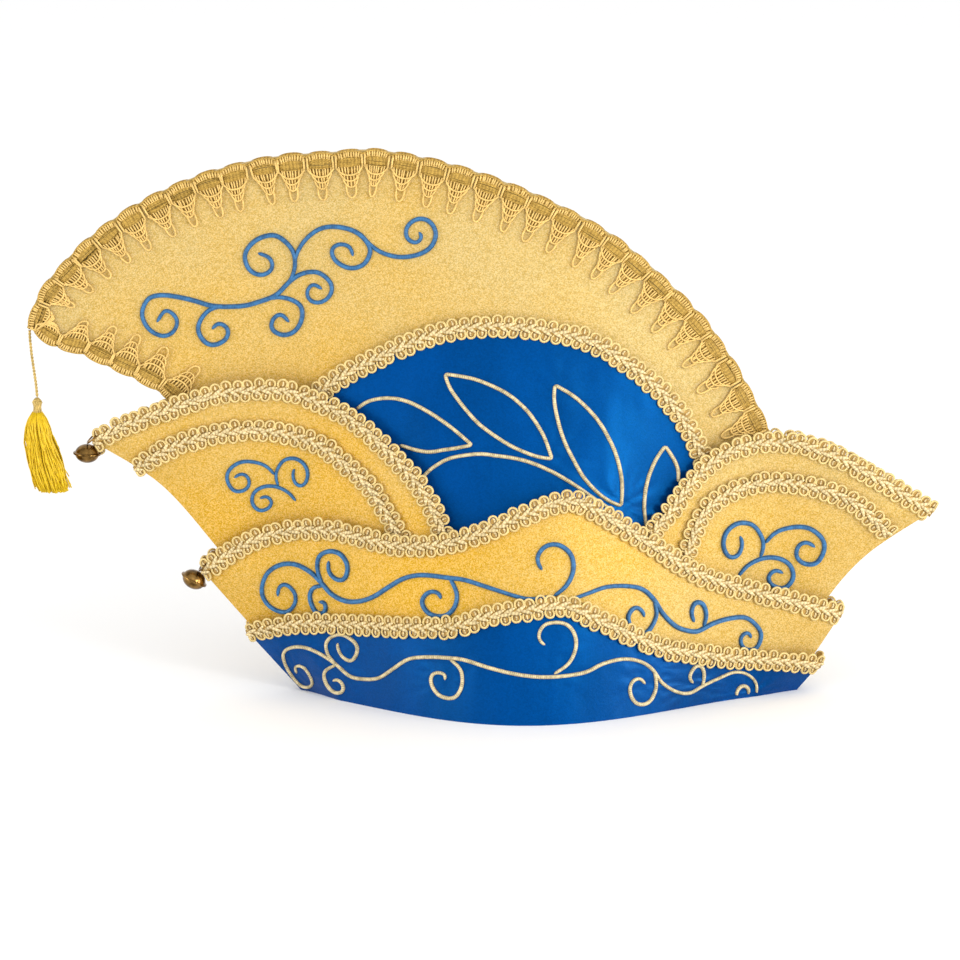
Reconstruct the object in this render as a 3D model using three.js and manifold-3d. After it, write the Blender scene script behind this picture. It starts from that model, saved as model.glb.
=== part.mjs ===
// A tall carnival cap of stiffened cloth. Two crown panels meet in a high crest that juts out over the
// forehead. Four more layers lie over each crown panel, each stepping out from the one above: a satin side
// panel, a front and a back flap with long points, a wavy brim and a satin band round the rim. Gimp braid
// edges every layer, lace edges the crest, two jingle bells hang from the front points and a tassel from
// the crest. The left and right halves are sewn together at the front, along the crest and at the back.
//
// Millimetres. X runs from the front to the back, Z is up, and the cap stands on its rim at Z 0.
// The left half, on the wearer's left, is on the -Y side.
import * as THREE from "three";
import { mergeVertices } from "three/addons/utils/BufferGeometryUtils.js";
import Module from "manifold-3d";

const wasm = await Module();
wasm.setup();

// Cloth
const WALL = 1.6; // thickness of each stiffened layer
const SEAM_GAP = 0.3; // between the left and right halves where they are sewn together
const SEAM_RUN = { rim: 22, perHeight: 0.3 }; // how far behind a seam its two halves are fully apart
const LAY_GAP = 0.4; // between the cloth and what is sewn onto it

// Hollow for the head: a lens in plan, more pinched behind its widest place than in front of it, that
// narrows upwards to the crest
const HEAD = { x: 20, halfWidth: 61, frontRun: 118, frontPinch: 1.6, rearRun: 144, rearPinch: 2.2 };
const LENS_SOFTNESS = 0.06; // rounds the lens off where it runs out at the front and back
const CREST_PINCH = 1.3; // above 1 the sides hollow inwards on their way up to the crest
const CREST_SOFTNESS = 0.25; // rounds the outer layers off where the crown under them closes to the crest

// Crest line in side view, from its tip over the forehead to the back
const CREST = [
  { x: -225, z: 184 },
  { x: -215.5, z: 205.5 },
  { x: -187, z: 233.8 },
  { x: -150, z: 255 },
  { x: -110.5, z: 267.1 },
  { x: -70, z: 271 },
  { x: -50, z: 271.5 },
  { x: -12.5, z: 263.5 },
  { x: 27, z: 249 },
  { x: 66, z: 227.5 },
  { x: 105.5, z: 191 },
  { x: 125, z: 163.3 },
  { x: 140.5, z: 133.5 },
  { x: 150, z: 105 },
];

// How far each layer's inner face stands off the crown's inner face: at the rim, and how much more above it
const STANDOFF = {
  crown: { rim: 0, rise: 0 },
  side: { rim: 2.4, rise: 0 },
  flap: { rim: 2, rise: 5 },
  brim: { rim: 4, rise: 8.3 },
  band: { rim: 6.1, rise: 8.4 },
};
const STANDOFF_HEIGHT = 60; // height scale over which a layer leans out to its full rise

// Seams on the middle plane, from the rim up. Each row is one point of the seam in side view.
const CROWN_FRONT_SEAM = [
  { x: -81, z: 0 },
  { x: -98, z: 55 },
  { x: -121, z: 112 },
  { x: -155, z: 148 },
  { x: -190, z: 167 },
];
const CROWN_REAR_SEAM = [
  { x: 143, z: 0 },
  { x: 152, z: 36 },
  { x: 154, z: 72 },
];
const FRONT_FLAP_SEAM = [
  { x: -84.5, z: 0 },
  { x: -107, z: 40 },
  { x: -131, z: 71 },
  { x: -160, z: 105 },
  { x: -193, z: 126.5 },
];
const REAR_FLAP_SEAM = [
  { x: 148, z: 0 },
  { x: 161, z: 26 },
  { x: 171, z: 47 },
  { x: 191, z: 70 },
  { x: 222.5, z: 91.5 },
];
const BRIM_FRONT_SEAM = [
  { x: -88, z: 0 },
  { x: -113.5, z: 30 },
  { x: -140, z: 61 },
];
const BRIM_REAR_SEAM = [
  { x: 153, z: 0 },
  { x: 168.5, z: 24 },
  { x: 178, z: 39 },
];
const BAND_FRONT_SEAM = [
  { x: -91.5, z: 0 },
  { x: -118, z: 30 },
];
const BAND_REAR_SEAM = [
  { x: 156.5, z: 0 },
  { x: 168, z: 13.5 },
];
const BAND_RUN_ON = 2; // the band's braid follows its seams on upwards to this multiple of their length

// Upper edges of the layers in side view, from the front to the back
const SIDE_EDGE = [
  { x: -88, z: 147 },
  { x: -65, z: 164 },
  { x: -25, z: 182.7 },
  { x: 5, z: 187 },
  { x: 36, z: 183.6 },
  { x: 60, z: 175 },
  { x: 89, z: 151.4 },
  { x: 106, z: 124.8 },
  { x: 111, z: 110 },
];
const FRONT_FLAP_EDGE = [
  { x: -193, z: 126.5 },
  { x: -175, z: 136.5 },
  { x: -138, z: 150.3 },
  { x: -118, z: 154 },
  { x: -94, z: 153 },
  { x: -65, z: 141 },
  { x: -37, z: 117 },
  { x: -21, z: 92.5 },
  { x: -8, z: 50 },
];
const REAR_FLAP_EDGE = [
  { x: 76, z: 45 },
  { x: 82, z: 84 },
  { x: 92, z: 97 },
  { x: 102, z: 110 },
  { x: 114, z: 120.5 },
  { x: 129, z: 126.5 },
  { x: 146, z: 128 },
  { x: 161, z: 125.5 },
  { x: 182, z: 116.5 },
  { x: 222.5, z: 91.5 },
];
const BRIM_EDGE = [
  { x: -140, z: 61 },
  { x: -111, z: 80 },
  { x: -78, z: 86 },
  { x: -43, z: 82 },
  { x: -14, z: 86 },
  { x: 20, z: 99.5 },
  { x: 40, z: 105.5 },
  { x: 54, z: 100.5 },
  { x: 83, z: 81 },
  { x: 103, z: 66.5 },
  { x: 122, z: 58 },
  { x: 151, z: 48.3 },
  { x: 178, z: 39 },
];
const BAND_EDGE = [
  { x: -118, z: 30 },
  { x: -97, z: 36.5 },
  { x: -69.5, z: 40 },
  { x: -16.5, z: 45.5 },
  { x: 3, z: 52 },
  { x: 37, z: 56.5 },
  { x: 51, z: 51 },
  { x: 84, z: 33 },
  { x: 101, z: 27.4 },
  { x: 123, z: 21.6 },
  { x: 152, z: 17 },
  { x: 168, z: 13.5 },
];
// Middle lines of the second row of braid on each flap
const FRONT_INNER_LINE = [
  { x: -173, z: 113 },
  { x: -157, z: 124 },
  { x: -138, z: 131 },
  { x: -119, z: 134 },
  { x: -102, z: 133 },
  { x: -82, z: 128 },
  { x: -69, z: 119.5 },
  { x: -57, z: 109.7 },
  { x: -49, z: 98.7 },
  { x: -37, z: 79 },
];
const REAR_INNER_LINE = [
  { x: 98, z: 70 },
  { x: 106, z: 91.5 },
  { x: 117, z: 101.5 },
  { x: 132, z: 107 },
  { x: 150, z: 107.7 },
  { x: 171, z: 103 },
  { x: 187, z: 94.5 },
  { x: 201, z: 80 },
];
const SIDE_FOOT = { frontX: -45, rearX: 95, z: 40 }; // lower edge of the side panel, behind the brim
const FLAP_FOOT = { frontX: 4, rearX: 72 }; // where the flaps' hidden edges reach the rim

// Gimp braid
const BRAID_WIDTH = 12;
const BRAID_THICKNESS = 1.6;
const BRAID_TUCK = 6; // length tucked in behind the next layer down
const FLAP_BRAID_X = { frontStop: -21, rearStart: 82 }; // where the flaps' edges go in behind the brim

// Lace along the crest and under its overhanging front
const LACE = { thickness: 1, pitch: 14.2, mitreStart: 0.3, mitreSlope: 0.85 };
// One repeat of the lace: how far it reaches beyond the edge of the cloth and down over it
const LACE_SECTIONS = [
  { scallop: 0, depth: 11 },
  { scallop: 2, depth: 25 },
];
const CREST_LACE_END = 0.94; // share of the crest line, where the back flap begins to cover it
const TIP_LACE_START = 0.985; // share of the crown's front seam, just below the tip of the crest
const TIP_LACE_END_X = -150;

// Jingle bells, each on an oval wire link through the braid at a front point
const BELL = { radius: 6, squash: 0.78, wall: 0.6, flangeRadius: 6.7, flangeHeight: 0.8 };
const BELL_SLOT = { width: 1.4, drop: 0.9 }; // its middle is at this share of the way down to the bottom
const BELL_EYE = { radius: 1.25, wire: 0.45, lift: 1 };
const LINK = { halfWidth: 6.3, halfHeight: 3, wire: 0.9, drop: 2.2, hole: 1.2, segments: 16, sides: 5 };
const HANGERS = {
  upper: { hole: { x: -192.4, z: 129.6 }, linkLean: 0.85, bellLean: 0.06 },
  lower: { hole: { x: -138.2, z: 65.2 }, linkLean: 0.75, bellLean: 0.5 },
};
const DRILL_LENGTH = 40;

// Tassel and its cord
const CORD = { diameter: 1.6, sides: 8, steps: 8 };
const TASSEL_LEAN = -0.09;
const TASSEL_OUTLINE = [
  { radius: 0, z: -44 },
  { radius: 7, z: -44 },
  { radius: 6.4, z: -24 },
  { radius: 3.4, z: -9.5 },
  { radius: 2.6, z: -8.2 },
  { radius: 2.6, z: -2.4 },
  { radius: 1.7, z: -0.6 },
  { radius: 0, z: 0 },
];
const LOCK = { count: 10, topRadius: 0.9, footRadius: 3, length: 39, topZ: -8, inset: 1.6, spread: 0.15 };
// Middle line of the cord, from the tip of the crest down to the tassel
const CORD_ROUTE = [
  { x: -223.8, y: 0, z: 182.4 },
  { x: -223.8, y: 0, z: 180 },
  { x: -223.7, y: 0, z: 177.6 },
  { x: -223.5, y: 0, z: 175.2 },
  { x: -223.3, y: 0, z: 172.8 },
  { x: -223.1, y: 0, z: 170.4 },
  { x: -222.8, y: 0, z: 168 },
  { x: -222.5, y: 0, z: 165.6 },
  { x: -222.2, y: 0, z: 163.2 },
  { x: -221.9, y: 0, z: 160.8 },
  { x: -221.6, y: 0, z: 158.4 },
  { x: -221.3, y: 0, z: 156 },
  { x: -221.1, y: 0, z: 153.6 },
  { x: -220.9, y: 0, z: 151.2 },
  { x: -220.8, y: 0, z: 149 },
];

const gold = new THREE.MeshStandardMaterial({ color: 0xe3b458, roughness: 0.55, metalness: 0.25 });
const satin = new THREE.MeshStandardMaterial({ color: 0x0b4f9e, roughness: 0.35, metalness: 0 });
const braid = new THREE.MeshStandardMaterial({ color: 0xd8bc7c, roughness: 0.45, metalness: 0.3 });
const lace = new THREE.MeshStandardMaterial({ color: 0xc9a24f, roughness: 0.45, metalness: 0.3 });
const brass = new THREE.MeshStandardMaterial({ color: 0x6e5434, roughness: 0.35, metalness: 1 });
const rayon = new THREE.MeshStandardMaterial({ color: 0xe6c229, roughness: 0.4, metalness: 0 });

// Side view curves
const vector = ({ x, z }) => new THREE.Vector2(x, z);
const curve = (rows) => new THREE.SplineCurve(rows.map(vector));
const line = (from, to) => new THREE.LineCurve(vector(from), vector(to));
const last = (rows) => rows[rows.length - 1];

const crestLine = curve(CREST);

// Linear look-up of a curve's other coordinate, held at the curve's ends beyond them. The samples rise in
// "from".
const SAMPLES = 96;
function lookUp(samples, from, to, value) {
  const above = samples.findIndex((point) => point[from] >= value);
  if (above === 0) return samples[0][to];
  if (above < 0) return last(samples)[to];
  const low = samples[above - 1];
  const high = samples[above];
  return THREE.MathUtils.mapLinear(value, low[from], high[from], low[to], high[to]);
}
const crestSamples = crestLine.getPoints(SAMPLES);
const crestHeight = (x) => lookUp(crestSamples, "x", "y", x);
const seamX = (samples, z) => lookUp(samples, "y", "x", z);

// Half width of the hollow at a point of the side view
const positive = (value, softness) => (value + Math.hypot(value, softness)) / 2;
function hollow(x, z, softness) {
  const run = x < HEAD.x ? HEAD.frontRun : HEAD.rearRun;
  const pinch = x < HEAD.x ? HEAD.frontPinch : HEAD.rearPinch;
  const lens = positive(1 - ((x - HEAD.x) / run) ** 2, LENS_SOFTNESS) ** pinch;
  const left = positive(1 - z / crestHeight(x), softness) ** CREST_PINCH;
  return HEAD.halfWidth * lens * left;
}

// A layer's inner face: its half width at a point of the side view. The halves close up towards the seams.
function innerFace(standoff, frontSeam, rearSeam) {
  const front = frontSeam?.getPoints(SAMPLES);
  const rear = rearSeam?.getPoints(SAMPLES);
  return (x, z) => {
    const lean = standoff.rise * (1 - Math.exp(-Math.max(z, 0) / STANDOFF_HEIGHT));
    const run = SEAM_RUN.rim + SEAM_RUN.perHeight * z;
    const open = (distance) => Math.sin((Math.PI / 2) * THREE.MathUtils.clamp(distance / run, 0, 1));
    const atFront = front ? open(x - seamX(front, z)) : 1;
    const atRear = rear ? open(seamX(rear, z) - x) : 1;
    const width = hollow(x, z, standoff.rise > 0 ? CREST_SOFTNESS : 0);
    return SEAM_GAP / 2 + (width + standoff.rim + lean) * atFront * atRear;
  };
}

const crownFront = curve([...CROWN_FRONT_SEAM, CREST[0]]);
const crownRear = curve([...CROWN_REAR_SEAM, last(CREST)]);
const frontFlapSeam = curve(FRONT_FLAP_SEAM);
const rearFlapSeam = curve(REAR_FLAP_SEAM);
const brimFront = curve(BRIM_FRONT_SEAM);
const brimRear = curve(BRIM_REAR_SEAM);
const bandFront = curve(BAND_FRONT_SEAM);
const bandRear = curve(BAND_REAR_SEAM);
const runOn = ([low, high]) => ({
  x: THREE.MathUtils.lerp(low.x, high.x, BAND_RUN_ON),
  z: THREE.MathUtils.lerp(low.z, high.z, BAND_RUN_ON),
});

const crownFace = innerFace(STANDOFF.crown, crownFront, crownRear);
const sideFace = innerFace(STANDOFF.side);
const frontFlapFace = innerFace(STANDOFF.flap, frontFlapSeam);
const rearFlapFace = innerFace(STANDOFF.flap, null, rearFlapSeam);
const brimFace = innerFace(STANDOFF.brim, brimFront, brimRear);
const bandFace = innerFace(
  STANDOFF.band,
  line(BAND_FRONT_SEAM[0], runOn(BAND_FRONT_SEAM)),
  line(BAND_REAR_SEAM[0], runOn(BAND_REAR_SEAM)),
);

// Steps along a sheet, closer together towards its sewn ends
const spread = {
  bothEnds: (u) => (1 - Math.cos(Math.PI * u)) / 2,
  frontEnd: (u) => (u + 1 - Math.cos((Math.PI / 2) * u)) / 2,
  rearEnd: (u) => (u + Math.sin((Math.PI / 2) * u)) / 2,
  upperEnd: (v) => 1 - (1 - v) ** 1.4,
  even: (u) => u,
};

// A closed sheet on the left: a unit box whose grid is bent to place(u, v, w). u runs to the back, v up and
// w outwards, and the y it gives is a half width.
function bentSheet(uSteps, vSteps, place) {
  const geometry = new THREE.BoxGeometry(1, 1, 1, uSteps, vSteps, 1);
  const grid = geometry.getAttribute("position");
  for (let i = 0; i < grid.count; i++) {
    const { x, y, z } = place(grid.getX(i) + 0.5, grid.getY(i) + 0.5, grid.getZ(i) + 0.5);
    grid.setXYZ(i, x, -y, z);
  }
  return welded(geometry);
}

// The same piece on the right, with its triangles turned round so that they still face outwards
function mirrored(geometry) {
  const right = geometry.clone().scale(1, -1, 1);
  right.setIndex(Array.from(right.getIndex().array).reverse());
  right.computeVertexNormals();
  return right;
}

// Shared vertices merged, so that the surface is closed
function welded(geometry) {
  geometry.deleteAttribute("normal");
  geometry.deleteAttribute("uv");
  const merged = mergeVertices(geometry, 1e-3);
  merged.computeVertexNormals();
  return merged;
}

// A panel's side view, filled in between its four edges
function between({ foot, top, front, rear }) {
  const corners = [foot.getPointAt(0), foot.getPointAt(1), top.getPointAt(0), top.getPointAt(1)];
  return (u, v) => {
    const point = new THREE.Vector2();
    point.addScaledVector(foot.getPointAt(u), 1 - v).addScaledVector(top.getPointAt(u), v);
    point.addScaledVector(front.getPointAt(v), 1 - u).addScaledVector(rear.getPointAt(v), u);
    point.addScaledVector(corners[0], -(1 - u) * (1 - v)).addScaledVector(corners[1], -u * (1 - v));
    point.addScaledVector(corners[2], -(1 - u) * v).addScaledVector(corners[3], -u * v);
    return point;
  };
}

// One half of a layer of cloth
function panel({ edges, face, steps, along }) {
  const shape = between(edges);
  return bentSheet(...steps, (u, v, w) => {
    const { x, y: z } = shape(along(u), spread.upperEnd(v));
    return { x, y: face(x, z) + w * WALL, z };
  });
}

// A strip sewn flat onto a layer. Its offset across the strip is measured from a line in side view,
// positive to the left of the line's direction, which is the upper side of a line that runs to the back.
function strip({ path, face, steps, thickness, along, across, gap = LAY_GAP }) {
  return bentSheet(...steps, (u, v, w) => {
    const share = along(u);
    const middle = path.getPointAt(share);
    const tangent = path.getTangentAt(share);
    const offset = across(share, v);
    const x = middle.x - tangent.y * offset;
    const z = middle.y + tangent.x * offset;
    return { x, y: face(x, z) + WALL + gap + w * thickness, z };
  });
}

// The stretch of a curve between two shares of its length, as a smooth curve of its own
function stretch(path, from, to, points = 12) {
  const share = (i) => THREE.MathUtils.lerp(from, to, i / points);
  return new THREE.SplineCurve(Array.from({ length: points + 1 }, (_, i) => path.getPointAt(share(i))));
}

// The share of a curve's length at which it first passes an x
function shareAtX(path, x, samples = 400) {
  const start = path.getPointAt(0).x;
  for (let i = 1; i <= samples; i++) {
    if ((path.getPointAt(i / samples).x - x) * (start - x) <= 0) return i / samples;
  }
  return 1;
}

const sideEdge = curve(SIDE_EDGE);
const frontFlapEdge = curve(FRONT_FLAP_EDGE);
const rearFlapEdge = curve(REAR_FLAP_EDGE);
const brimEdge = curve(BRIM_EDGE);
const bandEdge = curve(BAND_EDGE);

const PANELS = {
  crown: {
    edges: {
      foot: line(CROWN_FRONT_SEAM[0], CROWN_REAR_SEAM[0]),
      top: crestLine,
      front: crownFront,
      rear: crownRear,
    },
    face: crownFace,
    steps: [24, 7],
    along: spread.bothEnds,
    material: gold,
  },
  side_panel: {
    edges: {
      foot: line({ x: SIDE_FOOT.frontX, z: SIDE_FOOT.z }, { x: SIDE_FOOT.rearX, z: SIDE_FOOT.z }),
      top: sideEdge,
      front: line({ x: SIDE_FOOT.frontX, z: SIDE_FOOT.z }, SIDE_EDGE[0]),
      rear: line({ x: SIDE_FOOT.rearX, z: SIDE_FOOT.z }, last(SIDE_EDGE)),
    },
    face: sideFace,
    steps: [14, 5],
    along: spread.even,
    material: satin,
  },
  front_flap: {
    edges: {
      foot: line(FRONT_FLAP_SEAM[0], { x: FLAP_FOOT.frontX, z: 0 }),
      top: frontFlapEdge,
      front: frontFlapSeam,
      rear: line({ x: FLAP_FOOT.frontX, z: 0 }, last(FRONT_FLAP_EDGE)),
    },
    face: frontFlapFace,
    steps: [14, 5],
    along: spread.frontEnd,
    material: gold,
  },
  rear_flap: {
    edges: {
      foot: line({ x: FLAP_FOOT.rearX, z: 0 }, REAR_FLAP_SEAM[0]),
      top: rearFlapEdge,
      front: line({ x: FLAP_FOOT.rearX, z: 0 }, REAR_FLAP_EDGE[0]),
      rear: rearFlapSeam,
    },
    face: rearFlapFace,
    steps: [18, 6],
    along: spread.rearEnd,
    material: gold,
  },
  brim: {
    edges: {
      foot: line(BRIM_FRONT_SEAM[0], BRIM_REAR_SEAM[0]),
      top: brimEdge,
      front: brimFront,
      rear: brimRear,
    },
    face: brimFace,
    steps: [26, 4],
    along: spread.bothEnds,
    material: gold,
  },
  band: {
    edges: {
      foot: line(BAND_FRONT_SEAM[0], BAND_REAR_SEAM[0]),
      top: bandEdge,
      front: bandFront,
      rear: bandRear,
    },
    face: bandFace,
    steps: [28, 3],
    along: spread.bothEnds,
    material: satin,
  },
};

const tuck = (path) => BRAID_TUCK / path.getLength();
const frontFlapStop = shareAtX(frontFlapEdge, FLAP_BRAID_X.frontStop) + tuck(frontFlapEdge);
const rearFlapStart = shareAtX(rearFlapEdge, FLAP_BRAID_X.rearStart) - tuck(rearFlapEdge);
const BRAIDS = {
  side_braid: { path: sideEdge, face: sideFace, steps: [18, 1], along: spread.even },
  front_edge_braid: {
    path: stretch(frontFlapEdge, 0, frontFlapStop),
    face: frontFlapFace,
    gap: 0.65,
    steps: [20, 1],
    along: spread.frontEnd,
    hole: HANGERS.upper.hole,
  },
  front_inner_braid: {
    path: curve(FRONT_INNER_LINE),
    face: frontFlapFace,
    gap: 0.8,
    steps: [16, 1],
    along: spread.frontEnd,
  },
  rear_edge_braid: {
    path: stretch(rearFlapEdge, rearFlapStart, 1),
    face: rearFlapFace,
    gap: 0.7,
    steps: [18, 1],
    along: spread.rearEnd,
  },
  rear_inner_braid: {
    path: curve(REAR_INNER_LINE),
    face: rearFlapFace,
    gap: 1,
    steps: [14, 1],
    along: spread.rearEnd,
  },
  brim_braid: {
    path: brimEdge,
    face: brimFace,
    gap: 0.7,
    steps: [28, 1],
    along: spread.bothEnds,
    hole: HANGERS.lower.hole,
  },
  band_braid: { path: bandEdge, face: bandFace, gap: 0.8, steps: [28, 1], along: spread.bothEnds },
};
const acrossBraid = (share, v) => (v - 0.5) * BRAID_WIDTH;

// Lace: scalloped along the cloth's edge and pointed on its inner side. An edge that runs along the top of
// the cloth has the points below it, one that runs along the underside has them above it. The two rows
// start at the tip of the crest, where their depth grows with the distance so that they meet in a mitre.
function laceStrip(path, pointsUp) {
  const length = path.getLength();
  const repeats = Math.round(length / LACE.pitch);
  const phases = LACE_SECTIONS.length;
  const across = (share, v) => {
    const section = LACE_SECTIONS[Math.round(share * repeats * phases) % phases];
    const inner = Math.min(section.depth, LACE.mitreStart + LACE.mitreSlope * share * length);
    return pointsUp
      ? THREE.MathUtils.lerp(-section.scallop, inner, v)
      : THREE.MathUtils.lerp(-inner, section.scallop, v);
  };
  const steps = [repeats * phases, 1];
  return strip({ path, face: crownFace, steps, thickness: LACE.thickness, along: spread.even, across });
}

// A solid for joining and cutting, and back
function solid(geometry, placed = new THREE.Matrix4()) {
  const closed = welded(geometry.clone().applyMatrix4(placed));
  const mesh = new wasm.Mesh({
    numProp: 3,
    vertProperties: Float32Array.from(closed.getAttribute("position").array),
    triVerts: Uint32Array.from(closed.getIndex().array),
  });
  return new wasm.Manifold(mesh);
}

function surface(body) {
  const mesh = body.getMesh();
  const geometry = new THREE.BufferGeometry();
  geometry.setAttribute("position", new THREE.Float32BufferAttribute(mesh.vertProperties, 3));
  geometry.setIndex(Array.from(mesh.triVerts));
  geometry.computeVertexNormals();
  return geometry;
}

const move = (x, y, z) => new THREE.Matrix4().makeTranslation(x, y, z);
const upright = new THREE.Matrix4().makeRotationX(Math.PI / 2); // turns an axis along Y to one along Z

// A hole along Y
function pierced(geometry, { x, z }, radius) {
  const drill = new THREE.CylinderGeometry(radius, radius, DRILL_LENGTH, 10);
  return surface(solid(geometry).subtract(solid(drill, move(x, 0, z))));
}

// A hollow bell with a flange round its middle, a slot underneath and an eye on top, which is at the origin
function bellGeometry() {
  const height = BELL.radius * BELL.squash;
  const squashed = new THREE.Matrix4().makeScale(1, 1, BELL.squash).multiply(upright);
  const ball = (radius, around, down) => solid(new THREE.SphereGeometry(radius, around, down), squashed);
  const flange = new THREE.CylinderGeometry(BELL.flangeRadius, BELL.flangeRadius, BELL.flangeHeight, 12);
  const eye = new THREE.TorusGeometry(BELL_EYE.radius, BELL_EYE.wire, 5, 8);
  const slot = new THREE.BoxGeometry(BELL_SLOT.width, 3 * BELL.radius, height);
  const shell = ball(BELL.radius, 12, 6)
    .add(solid(flange, upright))
    .add(solid(eye, move(0, 0, height + BELL_EYE.lift).multiply(upright)))
    .subtract(ball(BELL.radius - BELL.wall, 8, 5))
    .subtract(solid(slot, move(0, 0, -BELL_SLOT.drop * height)));
  return surface(shell.translate([0, 0, -(height + BELL_EYE.lift)]));
}

// An oval wire link in the YZ plane, hanging from the point where it passes through the braid
function linkGeometry() {
  const points = [];
  for (let i = 0; i < LINK.segments; i++) {
    const turn = (i / LINK.segments) * 2 * Math.PI;
    points.push(new THREE.Vector3(0, LINK.halfWidth * Math.sin(turn), LINK.halfHeight * Math.cos(turn)));
  }
  const path = new THREE.CatmullRomCurve3(points, true);
  const wire = new THREE.TubeGeometry(path, LINK.segments, LINK.wire / 2, LINK.sides, true);
  return welded(wire.translate(0, 0, -LINK.drop));
}

// A tassel hanging from the origin: a collar over a skirt of locks
function tasselGeometry() {
  const outline = TASSEL_OUTLINE.map(({ radius, z }) => new THREE.Vector2(radius, z));
  const core = solid(new THREE.LatheGeometry(outline, 12), upright);
  const locks = [];
  for (let i = 0; i < LOCK.count; i++) {
    const lock = new THREE.CylinderGeometry(LOCK.topRadius, LOCK.footRadius, LOCK.length, 6);
    const around = new THREE.Matrix4().makeRotationZ((i / LOCK.count) * 2 * Math.PI);
    const leaned = new THREE.Matrix4().makeRotationY(-LOCK.spread);
    const hung = around.multiply(move(LOCK.inset, 0, LOCK.topZ)).multiply(leaned);
    locks.push(solid(lock, hung.multiply(move(0, 0, -LOCK.length / 2)).multiply(upright)));
  }
  return surface(locks.reduce((body, lock) => body.add(lock), core));
}

// A round cord along its route
function cordGeometry() {
  const route = new THREE.CatmullRomCurve3(CORD_ROUTE.map(({ x, y, z }) => new THREE.Vector3(x, y, z)));
  const turns = Array.from({ length: CORD.sides }, (_, i) => (i / CORD.sides) * 2 * Math.PI);
  const radius = CORD.diameter / 2;
  const section = turns.map((turn) => new THREE.Vector2(radius * Math.cos(turn), radius * Math.sin(turn)));
  const options = { steps: CORD.steps, extrudePath: route };
  return welded(new THREE.ExtrudeGeometry(new THREE.Shape(section), options));
}

const cap = new THREE.Group();
cap.name = "carnival_cap";

function add(name, geometry, material, parent = cap) {
  const mesh = new THREE.Mesh(geometry, material);
  mesh.name = name;
  parent.add(mesh);
  return mesh;
}

const tipLacePath = stretch(crownFront, TIP_LACE_START, shareAtX(crownFront, TIP_LACE_END_X));
const pairs = [];
for (const [name, shape] of Object.entries(PANELS)) {
  pairs.push([name, panel(shape), shape.material]);
}
for (const [name, shape] of Object.entries(BRAIDS)) {
  const geometry = strip({ ...shape, thickness: BRAID_THICKNESS, across: acrossBraid });
  pairs.push([name, shape.hole ? pierced(geometry, shape.hole, LINK.hole) : geometry, braid]);
}
pairs.push(["crest_lace", laceStrip(stretch(crestLine, 0, CREST_LACE_END, 24), false), lace]);
pairs.push(["tip_lace", laceStrip(tipLacePath, true), lace]);
for (const [name, geometry, material] of pairs) {
  add(`${name}_left`, geometry, material);
  add(`${name}_right`, mirrored(geometry), material);
}

// Each bell hangs on its link, which leans to where the bell comes to rest in front of the braid's end
for (const [name, { hole, linkLean, bellLean }] of Object.entries(HANGERS)) {
  const hanger = new THREE.Group();
  hanger.position.set(hole.x, 0, hole.z);
  hanger.rotation.y = linkLean;
  cap.add(hanger);
  add(`${name}_ring`, linkGeometry(), brass, hanger);
  const bell = add(`${name}_bell`, bellGeometry(), brass, hanger);
  bell.position.z = -(LINK.drop + LINK.halfHeight);
  bell.rotation.y = bellLean - linkLean;
}

add("tassel_cord", cordGeometry(), rayon);
const tassel = add("tassel", tasselGeometry(), rayon);
const cordEnd = last(CORD_ROUTE);
tassel.position.set(cordEnd.x, cordEnd.y, cordEnd.z - LAY_GAP);
tassel.rotation.y = TASSEL_LEAN;

export default cap;
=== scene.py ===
"""The looks of an embroidered carnival cap: cloth, braid, lace, embroidery, bells, cord and tassel.

Lengths in this file are millimetres in the cap's own frame, and become metres where a vertex is placed.
X runs from the front of the cap to its back, Z is up and the rim is at Z 0. The left half is on the -Y side.
A layer's side view is its look along Y, so a point of it is an (x, z), and its half width gives the y.
"""

import math

import bmesh
import bpy
import numpy as np
from mathutils import Matrix, Vector


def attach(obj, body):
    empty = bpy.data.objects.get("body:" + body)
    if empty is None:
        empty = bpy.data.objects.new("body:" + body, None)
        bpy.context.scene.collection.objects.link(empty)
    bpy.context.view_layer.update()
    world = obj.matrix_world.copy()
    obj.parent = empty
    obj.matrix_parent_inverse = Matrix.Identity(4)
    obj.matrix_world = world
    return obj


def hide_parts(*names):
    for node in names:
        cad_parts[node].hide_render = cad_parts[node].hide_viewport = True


bl_info = {
    "name": "Embroidered Carnival Cap",
    "version": (1, 0, 0),
    "blender": (4, 5, 0),
    "location": "3D View > Sidebar > Cap",
    "description": "Dresses a carnival cap with cloth, braid, lace, embroidery, bells and a tassel",
    "category": "Object",
}

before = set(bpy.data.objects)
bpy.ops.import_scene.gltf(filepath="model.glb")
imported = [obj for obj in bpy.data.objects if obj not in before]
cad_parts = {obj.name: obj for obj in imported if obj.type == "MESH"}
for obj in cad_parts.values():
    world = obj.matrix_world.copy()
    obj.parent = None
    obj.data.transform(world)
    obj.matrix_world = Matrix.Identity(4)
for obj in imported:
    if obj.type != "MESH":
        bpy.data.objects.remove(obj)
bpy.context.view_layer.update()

MM = 0.001
SEED = 11

# Cloth. The head's hollow is a lens in plan, and closes towards the crest and the seams
WALL = 1.6
SEAM_GAP = 0.3
SEAM_RUN_RIM = 22
SEAM_RUN_PER_HEIGHT = 0.3
HEAD_X = 20
HEAD_HALF_WIDTH = 61
HEAD_FRONT = {"run": 118, "pinch": 1.6}
HEAD_REAR = {"run": 144, "pinch": 2.2}
LENS_SOFTNESS = 0.06
CREST_PINCH = 1.3
CREST_SOFTNESS = 0.25
STANDOFF_HEIGHT = 60
SHARP_EDGE = math.radians(50)
CREASE = {"height": 0.2, "start": 3, "reach": 13, "folds": 13, "wander": 2, "wander_waves": 3}

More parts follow.
